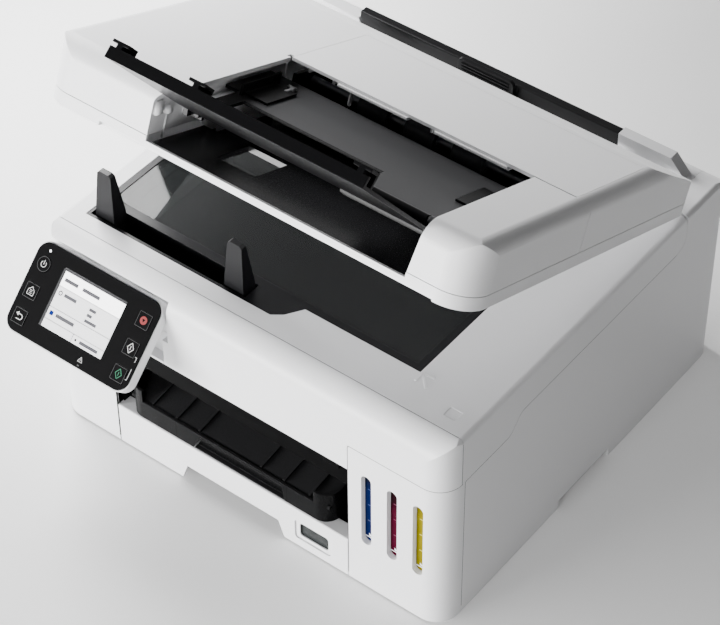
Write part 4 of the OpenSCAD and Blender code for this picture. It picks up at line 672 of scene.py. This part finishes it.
def on_screen(x, y):
    """A point of the picture on the display, from its upper left corner as shares of its sides."""
    return display_u0 + x * display_w, display_v1 - y * display_h


def screen_bar(x0, y0, x1, y1):
    """A rectangle on the display, from its upper left to its lower right corner."""
    (left, top), (right, bottom) = on_screen(x0, y0), on_screen(x1, y1)
    return bar(left, bottom, right, top)


def show(name, outlines, material, high):
    """Something that the display shows, as plates that hardly stand out from it."""
    return raised(name, outlines, display_level - 0.02, display_level + high, panel_matrix, material,
        "control_panel")


show("screen_header", [screen_bar(0.0, 0.0, 1.0, 0.265)], screen_white, 0.02)
rules = ((0, 0.262, 1, 0.270), (0, 0.636, 1, 0.645), (0, 0.851, 1, 0.860), (0.492, 0.86, 0.500, 1.0))
show("screen_rules", [screen_bar(*rule) for rule in rules], screen_grey, 0.035)
words = ((0.04, 0.105, 0.26, 0.165), (0.34, 0.105, 0.62, 0.165), (0.13, 0.345, 0.33, 0.40),
    (0.55, 0.345, 0.66, 0.395), (0.55, 0.445, 0.63, 0.495), (0.55, 0.545, 0.74, 0.595),
    (0.14, 0.705, 0.44, 0.765), (0.62, 0.905, 0.92, 0.960))
show("screen_words", [screen_bar(*word) for word in words], screen_grey, 0.035)
show("screen_icon_round", arc(*on_screen(0.065, 0.372), 1.5, 0.75, 0, 360, 18), screen_dark, 0.04)
show("screen_icon_square", [screen_bar(0.035, 0.700, 0.095, 0.775)], screen_blue, 0.04)
show("screen_icon_star", [disc(*on_screen(0.555, 0.932), 1.1, 5)], screen_dark, 0.04)
rim_grey = moulded("rim_grey", (0.045, 0.045, 0.047), 0.3)
rim_line = [(display_u1 + 0.5, display_v1 + 1.1), (display_u0 - 1.1, display_v1 + 1.1),
    (display_u0 - 1.1, display_v0 - 0.2)]
raised("display_rim", chain(rim_line, 2.0), -0.04, 0.03, panel_matrix, rim_grey, "control_panel")

# ---- Lid ----
# The lid is a white ABS shell over a flat base, hinged at the back and held open by friction.
# Its left part is hollow inside the feeder opening, with bosses and stiffening ribs.
dress(white_cover, "lid_base", "lid_shell", "feeder_cover")
# The output floor is given a lighter black than the feeder's: painted light for the fill that reaches it in
# the lid's shade
floor_black = moulded("floor_black", (0.012, 0.012, 0.013), 0.26, edge=0.6, shine=0.2)
dress(floor_black, "output_floor")
# The lid stands open, turned by this angle round its hinge axis, given here by its depth and its height
lid_angle = math.radians(-21.8)
lid_axis = (313.5, 197)
lid_matrix = (
    Matrix.Translation(place(0, *lid_axis))
    @ Matrix.Rotation(lid_angle, 4, "X")
    @ Matrix.Translation(Vector((0, -lid_axis[0] * mm, -lid_axis[1] * mm)))
)


def lid_block(name, low, high, material=white_cover):
    """A small moulded block of the lid with softened edges, placed in the closed lid's millimetres."""
    shape = bmesh.new()
    bmesh.ops.create_cube(shape, size=1)
    middle = [(a + b) / 2 for a, b in zip(low, high)]
    size = [b - a for a, b in zip(low, high)]
    for vertex in shape.verts:
        vertex.co = Vector([(m + c * d) * mm for m, c, d in zip(middle, vertex.co, size)])
    rounding = min(0.5, min(size) / 3) * mm
    bmesh.ops.bevel(shape, geom=shape.edges[:], offset=rounding, segments=2, affect="EDGES")
    mesh = bpy.data.meshes.new(name)
    shape.to_mesh(mesh)
    shape.free()
    mesh.transform(lid_matrix)
    for polygon in mesh.polygons:
        polygon.use_smooth = True
    return add_object(name, mesh, material, "lid")


# Bosses, a stop rib, guide fins and a step stand out from the upright wall of the left arm
arm_wall_x = -89
for name, y0, z0, x1, y1, z1 in (
        ("hinge_boss_front", -2.5, 216, -85.2, 5.5, 226),
        ("hinge_boss_back", 8.5, 215.5, -84, 15, 221),
        ("arm_rib", 12.6, 195, -86.9, 13.6, 217),
        ("guide_boss", 22.5, 219, -84.5, 26, 223.5),
        ("guide_fin_front", 31, 210, -85.5, 33.5, 219.5),
        ("guide_fin_back", 37.5, 210, -86, 39.5, 216),
        ("arm_step", 59.5, 194.6, -79.2, 129, 217.4)):
    lid_block(name, (arm_wall_x, y0, z0), (x1, y1, z1))
# A second wall stands beside the step, nearer to the middle of the lid
lid_block("arm_inner_wall", (-76.8, 60, 194.6), (-74.8, 129, 217.4))

# ---- Sheet feeder ----
# A hinged black tray takes the sheets, and its flap folds forward over the opening as a rest.
# A tyred roller, a grey separation lever and a sensor arm stand in the mouth.
# The feeder tray's floor is painted lighter than its walls: painted light for the fill that reaches it
feeder_floor = moulded("feeder_floor", (0.0032, 0.0032, 0.0035), 0.30, grain=0.7, depth=0.03, edge=0.7,
    shine=0.08, painted_light_floor_colour=(0.045, 0.045, 0.047))
dress(feeder_floor, "feeder_tray")
feeder_black = moulded("feeder_black", (0.0042, 0.0042, 0.0046), 0.30, grain=0.7, depth=0.03, edge=0.7,
    shine=0.10)
dress(feeder_black, "feeder_flap", "document_guide_left", "document_guide_right")
feeder_axis = lid_matrix @ Vector((0, 157 * mm, 220.5 * mm))
dress(tyred_shaft("feeder_roller_rubber", feeder_axis), "feeder_roller")
lever_grey = moulded("lever_grey", (0.24, 0.24, 0.25), 0.4)
for name, low, high in (("separation_lever", (-58, 106, 223.2), (-54, 118, 225.6)),
        ("separation_lever_foot", (-62, 116, 223.2), (-54, 119, 225.9)),
        ("sensor_arm", (-20, 133.5, 224), (-17.5, 136, 234))):
    lid_block(name, low, high, lever_grey)
